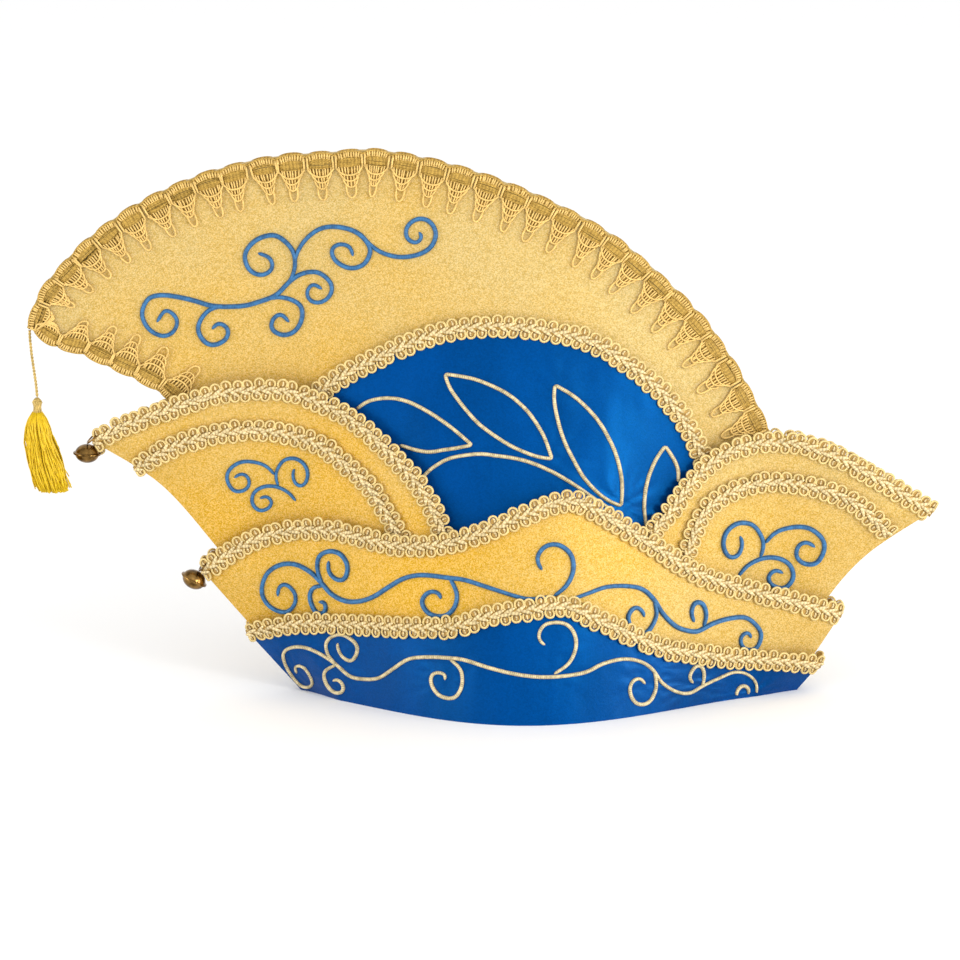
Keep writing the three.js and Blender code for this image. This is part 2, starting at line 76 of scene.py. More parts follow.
# Side view lines, from the front to the back or from the rim up
CREST = [
    (-225, 184), (-215.5, 205.5), (-187, 233.8), (-150, 255), (-110.5, 267.1), (-70, 271), (-50, 271.5),
    (-12.5, 263.5), (27, 249), (66, 227.5), (105.5, 191), (125, 163.3), (140.5, 133.5), (150, 105),
]
CROWN_FRONT_SEAM = [(-81, 0), (-98, 55), (-121, 112), (-155, 148), (-190, 167), CREST[0]]
CROWN_REAR_SEAM = [(143, 0), (152, 36), (154, 72), CREST[-1]]
FRONT_FLAP_SEAM = [(-84.5, 0), (-107, 40), (-131, 71), (-160, 105), (-193, 126.5)]
REAR_FLAP_SEAM = [(148, 0), (161, 26), (171, 47), (191, 70), (222.5, 91.5)]
BRIM_FRONT_SEAM = [(-88, 0), (-113.5, 30), (-140, 61)]
BRIM_REAR_SEAM = [(153, 0), (168.5, 24), (178, 39)]
BAND_FRONT_SEAM = [(-91.5, 0), (-118, 30)]
BAND_REAR_SEAM = [(156.5, 0), (168, 13.5)]
BAND_FRONT_RUN_ON = [(-91.5, 0), (-144.5, 60)]
BAND_REAR_RUN_ON = [(156.5, 0), (179.5, 27)]
SIDE_EDGE = [
    (-88, 147), (-65, 164), (-25, 182.7), (5, 187), (36, 183.6), (60, 175), (89, 151.4), (106, 124.8),
    (111, 110),
]
FRONT_FLAP_EDGE = [
    (-193, 126.5), (-175, 136.5), (-138, 150.3), (-118, 154), (-94, 153), (-65, 141), (-37, 117),
    (-21, 92.5), (-8, 50),
]
REAR_FLAP_EDGE = [
    (76, 45), (82, 84), (92, 97), (102, 110), (114, 120.5), (129, 126.5), (146, 128), (161, 125.5),
    (182, 116.5), (222.5, 91.5),
]
BRIM_EDGE = [
    (-140, 61), (-111, 80), (-78, 86), (-43, 82), (-14, 86), (20, 99.5), (40, 105.5), (54, 100.5),
    (83, 81), (103, 66.5), (122, 58), (151, 48.3), (178, 39),
]
BAND_EDGE = [
    (-118, 30), (-97, 36.5), (-69.5, 40), (-16.5, 45.5), (3, 52), (37, 56.5), (51, 51), (84, 33),
    (101, 27.4), (123, 21.6), (152, 17), (168, 13.5),
]
FRONT_INNER_LINE = [
    (-173, 113), (-157, 124), (-138, 131), (-119, 134), (-102, 133), (-82, 128), (-69, 119.5),
    (-57, 109.7), (-49, 98.7), (-37, 79),
]
REAR_INNER_LINE = [
    (98, 70), (106, 91.5), (117, 101.5), (132, 107), (150, 107.7), (171, 103), (187, 94.5), (201, 80),
]
SIDE_FOOT_FRONT = (-45, 40)
SIDE_FOOT_REAR = (95, 40)
FRONT_FLAP_FOOT = (4, 0)
REAR_FLAP_FOOT = (72, 0)

# The camera stands where the photograph was taken from
CAMERA_ELEVATION = math.radians(11.5)
CAMERA_DISTANCE = 2200
CAMERA_TARGET = (0, 0, 130)
CAMERA_REACH = 100_000
FRAME_PIXELS = 960
PIXEL_SIZE = 0.495
TARGET_PIXEL = (484, 434.6)
SENSOR_WIDTH = 36

# A white floor in a white room, a wide soft sun, and softboxes that give the satin and the ends their shine
FLOOR_HALF = 20_000
ROOM_STRENGTH = 1.04
SUN = {"from": (0.08, -1, 0.5), "strength": 0.18, "angle": math.radians(30)}
SOFTBOXES = {
    "right_panel_light": {"place": (950, -1220, 540), "size": 350, "power": 8},
    "left_panel_light": {"place": (-1500, -900, 300), "size": 900, "power": 11},
    "right_end_light": {"place": (1700, -700, 300), "size": 600, "power": 11},
}

# Bells, from the point that they hang on, and their links
BELL = {"radius": 6, "squash": 0.78, "drop": 1, "wall": 0.5, "rows": 9, "sides": 32, "pole": 0.001}
BELL_FLANGE = [(6.05, 0.6), (6.8, 0.45), (7, 0), (6.8, -0.45), (6.05, -0.6)]
BELL_SLOT = {"half_width": 0.75, "below": 0.45}
MERGE_WITHIN = 0.01
LINK_DROP = 2.2
LINK_HALF = (6.3, 3)
LINK_WIRE = 0.45
HANGERS = {
    "upper": {"hole": (-192.4, 129.6), "link_lean": 0.85, "bell_lean": 0.06},
    "lower": {"hole": (-138.2, 65.2), "link_lean": 0.75, "bell_lean": 0.5},
}

# Cord and tassel
CORD_DIAMETER = 1.6
CORD_LAY = 3.4
CORD_POINTS = 90
CORD_ROUTE = [
    (-223.8, 0, 182.4), (-223.8, 0, 180), (-223.7, 0, 177.6), (-223.5, 0, 175.2), (-223.3, 0, 172.8),
    (-223.1, 0, 170.4), (-222.8, 0, 168), (-222.5, 0, 165.6), (-222.2, 0, 163.2), (-221.9, 0, 160.8),
    (-221.6, 0, 158.4), (-221.3, 0, 156), (-221.1, 0, 153.6), (-220.9, 0, 151.2), (-220.8, 0, 149),
]
TASSEL_TOP = (-220.8, 0, 148.6)
SKIRT = {
    "threads": 760,
    "thread_radius": 0.34,
    "points": 11,
    "top": 7.2,
    "length": 38.2,
    "longest": 1.03,
    "uneven": 0.2,
    "swell_at": (0, 0.05, 0.2, 0.45, 0.75, 1),
    "swell": (2.2, 3.8, 6, 7.4, 8.6, 8.2),
    "sway": 7.7,
    "sway_curve": 1.7,
}
# Threads that cling together: how far they lie apart, and the waves of a lock and of a single thread
LOCKS = {
    "count": 54,
    "innermost": 0.1,
    "turn": 0.13,
    "reach": 0.09,
    "waves": (6, 13),
    "wave": 0.5,
    "curls": (14, 26),
    "curl": 0.2,
    "bound": 3,
}
COLLAR = {"radius": 2.2, "waist": 0.25, "top": 2.4, "foot": 7.6, "rounds": 8, "points": 14, "wire": 0.45}
KNOT = {"strands": 12, "points": 7, "top": 0.3, "inner": 0.25, "spread": 0.7, "half": (0.5, 0.4)}


# Curves in side view, first worked out finer than they are kept
LINE_POINTS = 401
FINER = 4


def evenly(points, count):
    """The same line as count points spread evenly along it."""
    steps = np.linalg.norm(np.diff(points, axis=0), axis=1)
    along = np.concatenate([[0], np.cumsum(steps)])
    places = np.linspace(0, along[-1], count)
    return np.column_stack([np.interp(places, along, column) for column in points.T])


def spline(rows, count=LINE_POINTS):
    """A smooth line through the rows, as points spread evenly along it."""
    points = np.array(rows, float)
    last = len(points) - 1
    places = np.linspace(0, last, FINER * count)
    low = np.minimum(places.astype(int), last - 1)
    share = (places - low)[:, None]
    before, start = points[np.maximum(low - 1, 0)], points[low]
    end, after = points[low + 1], points[np.minimum(low + 2, last)]
    leave, arrive = (end - before) / 2, (after - start) / 2
    cubic = 2 * start - 2 * end + leave + arrive
    square = -3 * start + 3 * end - 2 * leave - arrive
    return evenly(cubic * share**3 + square * share**2 + leave * share + start, count)


def at(line, shares):
    """Points at shares of a line's length."""
    places = np.asarray(shares) * (len(line) - 1)
    return np.column_stack([np.interp(places, np.arange(len(line)), column) for column in line.T])


def stretch(line, start, end):
    """The part of a line between two shares of its length."""
    return at(line, np.linspace(start, end, LINE_POINTS))


def straight(start, end):
    """A straight line."""
    return np.array([start, end], float)


def share_at_x(line, x):
    """The share of a line's length at which it first passes an x."""
    passed = (line[:, 0] - x) * (line[0, 0] - x) <= 0
    return int(np.argmax(passed)) / (len(line) - 1)


def unit(vectors):
    """The vectors made one long."""
    return vectors / np.linalg.norm(vectors, axis=-1, keepdims=True)


CREST_LINE = spline(CREST)
CROWN_FRONT = spline(CROWN_FRONT_SEAM)


# Layers
def layer(rim, rise, front=None, rear=None):
    """How far a layer stands off the head at the rim and above it, and the seams that close it."""
    return {
        "rim": rim,
        "rise": rise,
        "front": None if front is None else spline(front),
        "rear": None if rear is None else spline(rear),
    }


LAYERS = {
    "crown": layer(0, 0, CROWN_FRONT_SEAM, CROWN_REAR_SEAM),
    "side": layer(2.4, 0),
    "front_flap": layer(2, 5, front=FRONT_FLAP_SEAM),
    "rear_flap": layer(2, 5, rear=REAR_FLAP_SEAM),
    "brim": layer(4, 8.3, BRIM_FRONT_SEAM, BRIM_REAR_SEAM),
    "band": layer(6.1, 8.4, BAND_FRONT_RUN_ON, BAND_REAR_RUN_ON),
}


def positive(value, softness):
    """A value kept above zero, with a soft turn there."""
    return (value + np.hypot(value, softness)) / 2


def hollow(x, z, softness):
    """Half width of the head's hollow at a point of the side view."""
    front = x < HEAD_X
    run = np.where(front, HEAD_FRONT["run"], HEAD_REAR["run"])
    pinch = np.where(front, HEAD_FRONT["pinch"], HEAD_REAR["pinch"])
    lens = positive(1 - ((x - HEAD_X) / run) ** 2, LENS_SOFTNESS) ** pinch
    crest = np.interp(x, CREST_LINE[:, 0], CREST_LINE[:, 1])
    return HEAD_HALF_WIDTH * lens * positive(1 - z / crest, softness) ** CREST_PINCH


def opened(distance, z):
    """How far a layer's halves are apart at a distance behind a seam, from 0 to 1."""
    run = SEAM_RUN_RIM + SEAM_RUN_PER_HEIGHT * z
    return np.sin(np.pi / 2 * np.clip(distance / run, 0, 1))


def inside(name, x, z):
    """Half width of a layer's inner face."""
    cloth = LAYERS[name]
    lean = cloth["rise"] * (1 - np.exp(-np.maximum(z, 0) / STANDOFF_HEIGHT))
    width = hollow(x, z, CREST_SOFTNESS if cloth["rise"] else 0) + cloth["rim"] + lean
    if cloth["front"] is not None:
        width = width * opened(x - np.interp(z, cloth["front"][:, 1], cloth["front"][:, 0]), z)
    if cloth["rear"] is not None:
        width = width * opened(np.interp(z, cloth["rear"][:, 1], cloth["rear"][:, 0]) - x, z)
    return SEAM_GAP / 2 + width


def outside(name, x, z):
    """Half width of a layer's outer face."""
    return inside(name, x, z) + WALL


def facing(name, x, z, step=0.4):
    """Unit normals of a layer's left outer face."""
    along = (outside(name, x + step, z) - outside(name, x - step, z)) / (2 * step)
    up = (outside(name, x, z + step) - outside(name, x, z - step)) / (2 * step)
    return unit(np.stack([-along, -np.ones_like(along), -up], -1))


def placed(name, x, z, lift=0):
    """Points of a layer's left outer face, and its normals there. Points are lifted along the normals."""
    normal = facing(name, x, z)
    point = np.stack([x, -outside(name, x, z), z], -1)
    return point + normal * np.asarray(lift)[..., None], normal


# Pieces
def show(mesh, name, materials, *nodes, slot=None):
    """A finished mesh as a piece that stands for some of the frame's nodes."""
    piece = bpy.data.objects.new(name, mesh)
    bpy.context.scene.collection.objects.link(piece)
    for material in materials:
        mesh.materials.append(material)
    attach(piece, "root")
    if nodes:
        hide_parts(*nodes)
    return piece


def twin(mesh):
    """The same mesh on the right half."""
    other = mesh.copy()
    other.transform(Matrix.Diagonal((1, -1, 1, 1)))
    other.flip_normals()
    return other


def show_pair(mesh, name, materials, node=None, slot=None, drop=0):
    """A mesh of the left half, shown on both halves. The right one may be set lower by a drop."""
    right = twin(mesh)
    right.transform(Matrix.Translation((0, 0, -drop * MM)))
    for side, half in (("left", mesh), ("right", right)):
        nodes = [f"{node}_{side}"] if node else []
        show(half, f"{name}_{side}", materials, *nodes, slot=slot)


def between(foot, top, front, rear, u, v):
    """Side view points of a panel, filled in between its four edges."""
    u, v = u[:, None], v[:, None]
    ruled = (1 - v) * at(foot, u[:, 0]) + v * at(top, u[:, 0])
    ruled += (1 - u) * at(front, v[:, 0]) + u * at(rear, v[:, 0])
    corners = (1 - v) * ((1 - u) * foot[0] + u * foot[-1]) + v * ((1 - u) * top[0] + u * top[-1])
    return ruled - corners


def creases(ends, x, z):
    """How far cloth is drawn up in small creases that fan out from the ends of its stitching."""
    rise = 0 * x
    for number, (end_x, end_z) in enumerate(ends):
        away = np.hypot(x - end_x, z - end_z)
        turn = np.arctan2(z - end_z, x - end_x)
        fade = np.exp(-((away / CREASE["reach"]) ** 2)) - np.exp(-((away / CREASE["start"]) ** 2))
        wander = CREASE["wander"] * np.sin(CREASE["wander_waves"] * turn + number)
        rise += CREASE["height"] * fade * np.sin(CREASE["folds"] * turn + wander)
    return rise


def stitch_ends(layer_name, strokes):
    """Side view points of the ends of the strokes on a layer."""
    ends = [stroke[end] for stroke in strokes for end in (0, -1)]
    return np.column_stack(seen_at(layer_name, np.array(ends, float)))


def cloth_mesh(name, layer_name, edges, steps, strokes):
    """One half of a layer: two grids, the inner and the outer face, joined round their border. Satin is
    creased round the ends of its strokes of stitching."""
    ends = stitch_ends(layer_name, strokes) if strokes else []
    bm = bmesh.new()
    bmesh.ops.create_grid(bm, x_segments=steps[0], y_segments=steps[1], size=0.5)
    outer = bm.verts[:]
    copy = bmesh.ops.duplicate(bm, geom=bm.verts[:] + bm.edges[:] + bm.faces[:])["geom"]
    inner = [item for item in copy if isinstance(item, bmesh.types.BMVert)]
    inner_faces = [item for item in copy if isinstance(item, bmesh.types.BMFace)]
    bmesh.ops.reverse_faces(bm, faces=inner_faces)
    for verts, half_width in ((outer, outside), (inner, inside)):
        shares = np.array([vert.co[:2] for vert in verts]) + 0.5
        u = (1 - np.cos(np.pi * shares[:, 0])) / 2
        side = between(*edges, u, shares[:, 1])
        y = -half_width(layer_name, side[:, 0], side[:, 1]) - creases(ends, side[:, 0], side[:, 1])
        for vert, (x, z), depth in zip(verts, side, y):
            vert.co = Vector((x, depth, z)) * MM
    bmesh.ops.bridge_loops(bm, edges=[edge for edge in bm.edges if edge.is_boundary])
    bmesh.ops.recalc_face_normals(bm, faces=bm.faces[:])
    return finished(bm, name)


def finished(bm, name):
    """A mesh with smooth faces that keeps its sharp edges."""
    mesh = bpy.data.meshes.new(name)
    bm.to_mesh(mesh)
    bm.free()
    mesh.shade_smooth()
    mesh.set_sharp_from_angle(angle=SHARP_EDGE)
    return mesh


# Threads
def tubes(centre, normal, half_width, half_height, sides, closed=False, finish=0):
    """Tubes of thread along lines of points. The arrays' first axis is the tubes, the second the points.
    The finish is the number of the tubes' material on their piece."""
    if closed:
        tangent = unit(np.roll(centre, -1, 1) - np.roll(centre, 1, 1))
    else:
        tangent = unit(np.gradient(centre, axis=1))
    across = unit(np.cross(normal, tangent))
    up = np.cross(tangent, across)
    turn = (np.arange(sides) + 0.5) / sides * 2 * np.pi
    width = np.broadcast_to(half_width, centre.shape[:2])[:, :, None] * np.cos(turn)
    height = np.broadcast_to(half_height, centre.shape[:2])[:, :, None] * np.sin(turn)
    rings = centre[:, :, None] + across[:, :, None] * width[..., None] + up[:, :, None] * height[..., None]
    ahead = np.concatenate([centre, centre[:, :1]], 1) if closed else centre
    steps = np.linalg.norm(np.diff(ahead, axis=1), axis=2)
    along = np.concatenate([np.zeros((len(steps), 1)), np.cumsum(steps, axis=1)], 1)
    return {"rings": rings, "along": along, "closed": closed, "finish": finish}


def thread_mesh(name, groups):
    """One joined mesh of many tubes. Its UV map holds millimetres along a tube and the share round it."""
    points, faces, uvs, finishes, rounded = [], [], [], [], []
    first = 0
    for group in groups:
        rings, along, closed = group["rings"], group["along"], group["closed"]
        count, stations, sides, _ = rings.shape
        corner = first + np.arange(count * stations * sides).reshape(count, stations, sides)
        first += corner.size
        points.append(rings.reshape(-1, 3))
        here = corner if closed else corner[:, :-1]
        there = np.roll(corner, -1, 1) if closed else corner[:, 1:]
        quads = np.stack([here, np.roll(here, -1, 2), np.roll(there, -1, 2), there], -1)
        made = quads.reshape(-1, 4).tolist()
        rounded += [True] * len(made)
        low = np.broadcast_to(along[:, :-1, None], quads.shape[:3])
        high = np.broadcast_to(along[:, 1:, None], quads.shape[:3])
        left = np.broadcast_to(np.arange(sides) / sides, quads.shape[:3])
        right = left + 1 / sides
        uvs.append(np.stack([low, left, low, right, high, right, high, left], -1).reshape(-1, 2))
        if not closed:
            for end, order in ((0, -1), (-1, 1)):
                made += corner[:, end, ::order].tolist()
                flat = np.broadcast_to(along[:, [end], None], (count, sides, 1))
                turn = np.broadcast_to((np.arange(sides) / sides)[None, :, None], (count, sides, 1))
                uvs.append(np.concatenate([flat, turn], -1).reshape(-1, 2))
        faces += made
        finishes += [group["finish"]] * len(made)
        rounded += [False] * (len(faces) - len(rounded))
    mesh = bpy.data.meshes.new(name)
    mesh.from_pydata((np.concatenate(points) * MM).tolist(), [], faces)
    mesh.uv_layers.new(name="UVMap").data.foreach_set("uv", np.concatenate(uvs).astype(np.float32).ravel())
    mesh.polygons.foreach_set("material_index", finishes)
    bm = bmesh.new()
    bm.from_mesh(mesh)
    bmesh.ops.recalc_face_normals(bm, faces=bm.faces[:])
    bm.to_mesh(mesh)
    bm.free()
    mesh.polygons.foreach_set("use_smooth", rounded)
    return mesh


def ribbon(layer_name, line):
    """A line on a layer: its length, and a function that lays points along, across and above it."""
    point, normal = placed(layer_name, line[:, 0], line[:, 1])
    tangent = unit(np.gradient(point, axis=0))
    across = unit(np.cross(normal, tangent))
    steps = np.linalg.norm(np.diff(point, axis=0), axis=1)
    along = np.concatenate([[0], np.cumsum(steps)])
    columns = np.column_stack([line, across[:, 0], across[:, 2]])

    def lay(place, offset, lift):
        x, z, aside, above = (np.interp(place, along, column) for column in columns.T)
        return placed(layer_name, x + offset * aside, z + offset * above, lift)

    return along[-1], lay


# Gimp braid, with sizes across it that run from its middle line
# The backing's dark colour is partly its yarn's own and partly painted shade in the loops' holes and the
# plait's gaps
GIMP, PLAIT, GROUND_AND_SHADE = range(3)
LOOP = {"foot": 1.4, "neck": 2.4, "bend": 3.3, "top": 5.25, "foot_share": 0.7, "gap": 0.85, "points": 8}
TONGUE = {"foot": 1.8, "top": 4.4, "half_width": 0.66, "flatness": 0.7, "bow": 3, "points": 5}
TONGUE_SWELL = {"start": 0.15, "run": 0.75}
DISC = {"centre": 3.1, "reach": 1.7, "share": 0.72, "height": 0.4}
STRAND = {"length": 6.4, "half_width": 1, "half_height": 0.5, "swell": 1.94, "points": 7}
STRAND_LAY = {"lean": 0.36, "offset": 0.75, "rise": 0.6}
ROW_SHIFT = {"loops": 0.2, "strands": 0.25}
CORE_HALF_WIDTH = 2.2
UNEVEN = {"lean": 0.1, "size": 0.05, "tongue": 0.35, "strand_lean": 0.12, "strand_lift": 0.1}
NEARBY = 0.1
FRONT_BRAID_END_X = -21
REAR_BRAID_START_X = 82
BRAID_RUN_ON = 0.02
# The right flaps' braid is sewn lower, because none of it shows over the left flaps in the photograph
FAR_BRAID_DROP = 2.6


def loop_row(lay, middle, row, gap, half, wire, random):
    """One row of loops: a bend of gimp, a tongue of thread inside it and a backing behind them, whose dark
    colour is partly the yarn's own and partly painted shade in the loops' holes.
    """
    count = len(middle)
    lean = random.normal(0, UNEVEN["lean"], (count, 1))
    size = 1 + random.normal(0, UNEVEN["size"], (count, 1))
    shift = random.normal(0, UNEVEN["tongue"], (count, 1))

    bend = np.linspace(0, np.pi, LOOP["points"])
    foot = LOOP["foot_share"] * half
    along = np.concatenate([[-foot, -half], -half * np.cos(bend), [half, foot]])
    round_top = LOOP["bend"] + (LOOP["top"] - LOOP["bend"]) * np.sin(bend)
    across = np.concatenate([[LOOP["foot"], LOOP["neck"]], round_top, [LOOP["neck"], LOOP["foot"]]])
    place = middle[:, None] + along + lean * across
    centre, normal = lay(place, row * across * size, gap + wire)
    yield tubes(centre, normal, wire, wire, sides=5, finish=GIMP)

    share = np.linspace(0, 1, TONGUE["points"])
    across = TONGUE["foot"] + (TONGUE["top"] - TONGUE["foot"]) * share
    place = middle[:, None] + TONGUE["bow"] * shift * (share - share**2) + lean * across
    centre, normal = lay(place, row * across * size, gap + wire)
    body = TONGUE["half_width"] * np.sin(np.pi * (TONGUE_SWELL["start"] + TONGUE_SWELL["run"] * share))
    yield tubes(centre, normal, body, TONGUE["flatness"] * body, sides=4, finish=PLAIT)

    # A dark backing disc in each loop's hole, partly painted shade
    place = np.repeat(middle[:, None] + lean * DISC["centre"], 2, 1)
    offset = row * DISC["centre"]
    lift = gap + np.array([0, DISC["height"] * wire])
    centre = lay(place, offset, lift)[0]
    beside = lay(place + NEARBY, offset, lift)[0] - centre
    yield tubes(centre, unit(beside), DISC["reach"], DISC["share"] * half, sides=8, finish=GROUND_AND_SHADE)


def braid_mesh(name, layer_name, line, gap, sizes, random):
    """Braid along a line of a layer: two rows of loops round a core, and a plait of flat strands on top."""
    length, lay = ribbon(layer_name, line)
    pitch = length / max(2, round(length * MM / sizes.loop_pitch))
    steps = np.arange(round(length / pitch))
    wire = sizes.gimp_diameter / MM / 2
    half = pitch / 2 - LOOP["gap"] * wire
    share = np.linspace(-0.5, 0.5, STRAND["points"])
    body = np.sqrt(1 - (STRAND["swell"] * share) ** 2)
    half_width, half_height = STRAND["half_width"] * body, STRAND["half_height"] * body
    groups = []
    for row in (-1, 1):
        middle = (steps + 0.5 + ROW_SHIFT["loops"] * row) * pitch
        groups += loop_row(lay, middle, row, gap, half, wire, random)
        middle = (steps[:, None] + 0.5 + ROW_SHIFT["strands"] * row) * pitch
        lean = row * (STRAND_LAY["lean"] + random.normal(0, UNEVEN["strand_lean"], middle.shape))
        place = middle + STRAND["length"] * share * np.cos(lean)
        offset = row * STRAND_LAY["offset"] + STRAND["length"] * share * np.sin(lean)
        uneven = random.normal(0, UNEVEN["strand_lift"], middle.shape)
        centre, normal = lay(place, offset, gap + 2 * wire + STRAND_LAY["rise"] * share + uneven)
        groups.append(tubes(centre, normal, half_width, half_height, sides=6, finish=PLAIT))
    # A dark backing strip under the plait, partly painted shade in the gaps between its strands
    place = np.linspace(0, length, 2 * len(steps))[None]
    centre, normal = lay(place, 0, gap + wire)
    groups.append(tubes(centre, normal, CORE_HALF_WIDTH, wire, sides=4, finish=GROUND_AND_SHADE))
    return thread_mesh(name, groups)


# Embroidery
STITCH_RELIEF = 0.66
STITCH_STEP = 0.8
STITCH_LIFT = 0.15
STITCH_END = 0.12
FEWEST_STITCHES = 8
STROKE_SMOOTHING = 5
SCROLL_TAPER = 0.32
LEAF_TAPER = 0.1
RIM_MARGIN = 2.2
SIGHT = {"start": -40, "rounds": 60}


def seen_at(layer_name, pixels):
    """Side view points of a layer's left outer face that the camera sees at pixels of the photograph."""
    right = (pixels[:, 0] - TARGET_PIXEL[0]) * PIXEL_SIZE
    up = (TARGET_PIXEL[1] - pixels[:, 1]) * PIXEL_SIZE
    cosine, sine = math.cos(CAMERA_ELEVATION), math.sin(CAMERA_ELEVATION)
    eye = np.array(CAMERA_TARGET) + CAMERA_DISTANCE * np.array([0, -cosine, sine])
    through = np.column_stack([right, up * sine, CAMERA_TARGET[2] + up * cosine])
    y = np.full(len(pixels), float(SIGHT["start"]))
    for _ in range(SIGHT["rounds"]):
        share = (y - eye[1]) / (through[:, 1] - eye[1])
        x = eye[0] + share * (through[:, 0] - eye[0])
        z = eye[2] + share * (through[:, 2] - eye[2])
        y = (y - outside(layer_name, x, z)) / 2
    return x, np.maximum(z, RIM_MARGIN)


def stitched_mesh(name, layer_name, strokes, width, taper):
    """Raised satin stitch along strokes that are given in pixels of the photograph. A stroke loses a share
    of its width, the taper, towards its ends."""
    height = STITCH_RELIEF * width
    groups = []
    for stroke in strokes:
        pixels = spline(stroke)
        length = np.linalg.norm(np.diff(pixels, axis=0), axis=1).sum() * PIXEL_SIZE
        pixels = evenly(pixels, max(FEWEST_STITCHES, round(length / STITCH_STEP)))
        for _ in range(STROKE_SMOOTHING):
            pixels[1:-1] = (pixels[:-2] + 2 * pixels[1:-1] + pixels[2:]) / 4
        x, z = seen_at(layer_name, pixels)
        centre, normal = placed(layer_name, x, z, STITCH_LIFT * height)
        share = np.linspace(0, 1, len(x))
        end = np.minimum(share, 1 - share) * length / (width / 2)
        body = np.sqrt(np.clip(end, STITCH_END, 1)) * (1 - taper * (1 - np.sqrt(np.sin(np.pi * share))))
        groups.append(tubes(centre[None], normal[None], width / 2 * body, height * body, sides=8))
    return thread_mesh(name, groups)


# Lace
YARN, WEAVE = range(2)
LACE_PITCH = 14.2
LACE_RISE = 0.9
LACE_END = 0.94
LACE_CORNER = {"reach": 5, "slope": 0.8}
LACE_BOW_POWER = 2.6
TIP_LACE_START = 0.985
TIP_LACE_END_X = -150
TIP_LACE_BULGE = {"rise": 2.6, "at": 12, "run": 10}
# Half width of each bow of thread in one repeat, and its depth in the middle and at its ends
LACE_BOWS = {
    "edge": np.array((7.3, 0.45, 2.3)),
    "head": np.array((6.2, 3.4, 4.4)),
    "field": np.array((6.3, 8.2, 7.3)),
    "bowl": np.array((6.3, 12.2, 8.4)),
    "cup": np.array((5, 15.2, 10.4)),
    "thimble": np.array((3.6, 18.3, 13.6)),
}
BOW_POINTS = 11
FLAT_BOW_POINTS = 7
# Half width, half height, lift and finish of each kind of thread
LACE_YARNS = {
    "edge": (0.5, 0.5, 0.5, WEAVE),
    "edge_ground": (1.8, 0.2, 0.3, WEAVE),
    "edge_bar": (0.48, 0.4, 0.6, YARN),
    "field": (0.42, 0.36, 0.45, WEAVE),
    "post": (0.55, 0.5, 0.9, YARN),
    "bar": (0.42, 0.42, 0.75, YARN),
    # The bowl's and the cup's flat backings behind the bars are partly net and partly painted shade, which
    # darkens the holes
    "bowl_ground": (2, 0.15, 0.15, WEAVE),
    "bowl": (0.52, 0.52, 0.9, YARN),
    "cup_ground": (1.5, 0.15, 0.15, WEAVE),
    "cup": (0.48, 0.48, 0.9, YARN),
    "thimble": (0.46, 0.46, 0.9, YARN),
    "loop": (0.5, 0.5, 0.8, YARN),
}
LACE_SIDES = {YARN: 5, WEAVE: 4}
# Reach to either side and number of the bars that hang from a bow
LACE_BARS = {"edge": (6.4, 11), "field": (5.2, 8), "bowl": (3, 5), "cup": (1.5, 3)}
BAR_POINTS = 3
BAR_DRAW_IN = 0.9
FIELD_ROWS = 9
POST = {"along": 6.4, "top": 2.4, "foot": 8.8}
# How much narrower the ground behind the bars is than the bows
BOWL_GROUND_IN = np.array((0.8, 0, 0))
CUP_GROUND_IN = np.array((1.6, 0, 0))
TIP_LOOP = {"half_width": 2.2, "top": 16.8, "drop": 6.8, "roundness": 0.6}
LACE_UNEVEN = {"lean": 0.05, "wander": 0.15}


def depth_on(bow, along):
    """How deep a bow hangs at places along it."""
    half, middle, end = bow
    return middle + (end - middle) * np.abs(along / half) ** LACE_BOW_POWER


def bow_line(bow, count=BOW_POINTS):
    """A bow as points of (along, depth)."""
    along = np.linspace(-bow[0], bow[0], count)
    return np.column_stack([along, depth_on(bow, along)])


def bars(upper, lower, reach, count):
    """Short threads from one bow to the next, which draw together downwards."""
    for along in np.linspace(-reach, reach, count):
        foot = BAR_DRAW_IN * along
        depth = np.linspace(depth_on(upper, along), depth_on(lower, foot), BAR_POINTS)
        yield np.column_stack([np.linspace(along, foot, BAR_POINTS), depth])


def lace_threads():
    """One repeat of the lace, from its scalloped edge to the loop at its tip, as kinds of thread and their
    lines of (along, depth)."""
    edge, head, field, bowl, cup, thimble = LACE_BOWS.values()
    yield "edge", bow_line(edge)
    yield "edge_ground", bow_line((edge + head) / 2, FLAT_BOW_POINTS)
    for line in bars(edge, head, *LACE_BARS["edge"]):
        yield "edge_bar", line
    for share in np.linspace(0, 1, FIELD_ROWS):
        yield "field", bow_line(head + share * (field - head), FLAT_BOW_POINTS)
    for side in (-1, 1):
        depth = np.linspace(POST["top"], POST["foot"], BAR_POINTS)
        yield "post", np.column_stack([np.full(BAR_POINTS, side * POST["along"]), depth])
    # Painted shade: a flat backing behind the bars darkens the holes, partly as net
    yield "bowl_ground", bow_line((field + bowl) / 2 - BOWL_GROUND_IN, FLAT_BOW_POINTS)
    for line in bars(field, bowl, *LACE_BARS["field"]):
        yield "bar", line
    yield "bowl", bow_line(bowl)
    # Painted shade: a flat backing behind the next bars, partly as net
    yield "cup_ground", bow_line((bowl + cup) / 2 - CUP_GROUND_IN, FLAT_BOW_POINTS)
    for line in bars(bowl, cup, *LACE_BARS["bowl"]):
        yield "bar", line
    yield "cup", bow_line(cup)
    for line in bars(cup, thimble, *LACE_BARS["cup"]):
        yield "bar", line
    yield "thimble", bow_line(thimble)
    bend = np.linspace(-np.pi / 2, np.pi / 2, BOW_POINTS)
    depth = TIP_LOOP["top"] + TIP_LOOP["drop"] * np.cos(bend) ** TIP_LOOP["roundness"]
    yield "loop", np.column_stack([TIP_LOOP["half_width"] * np.sin(bend), depth])


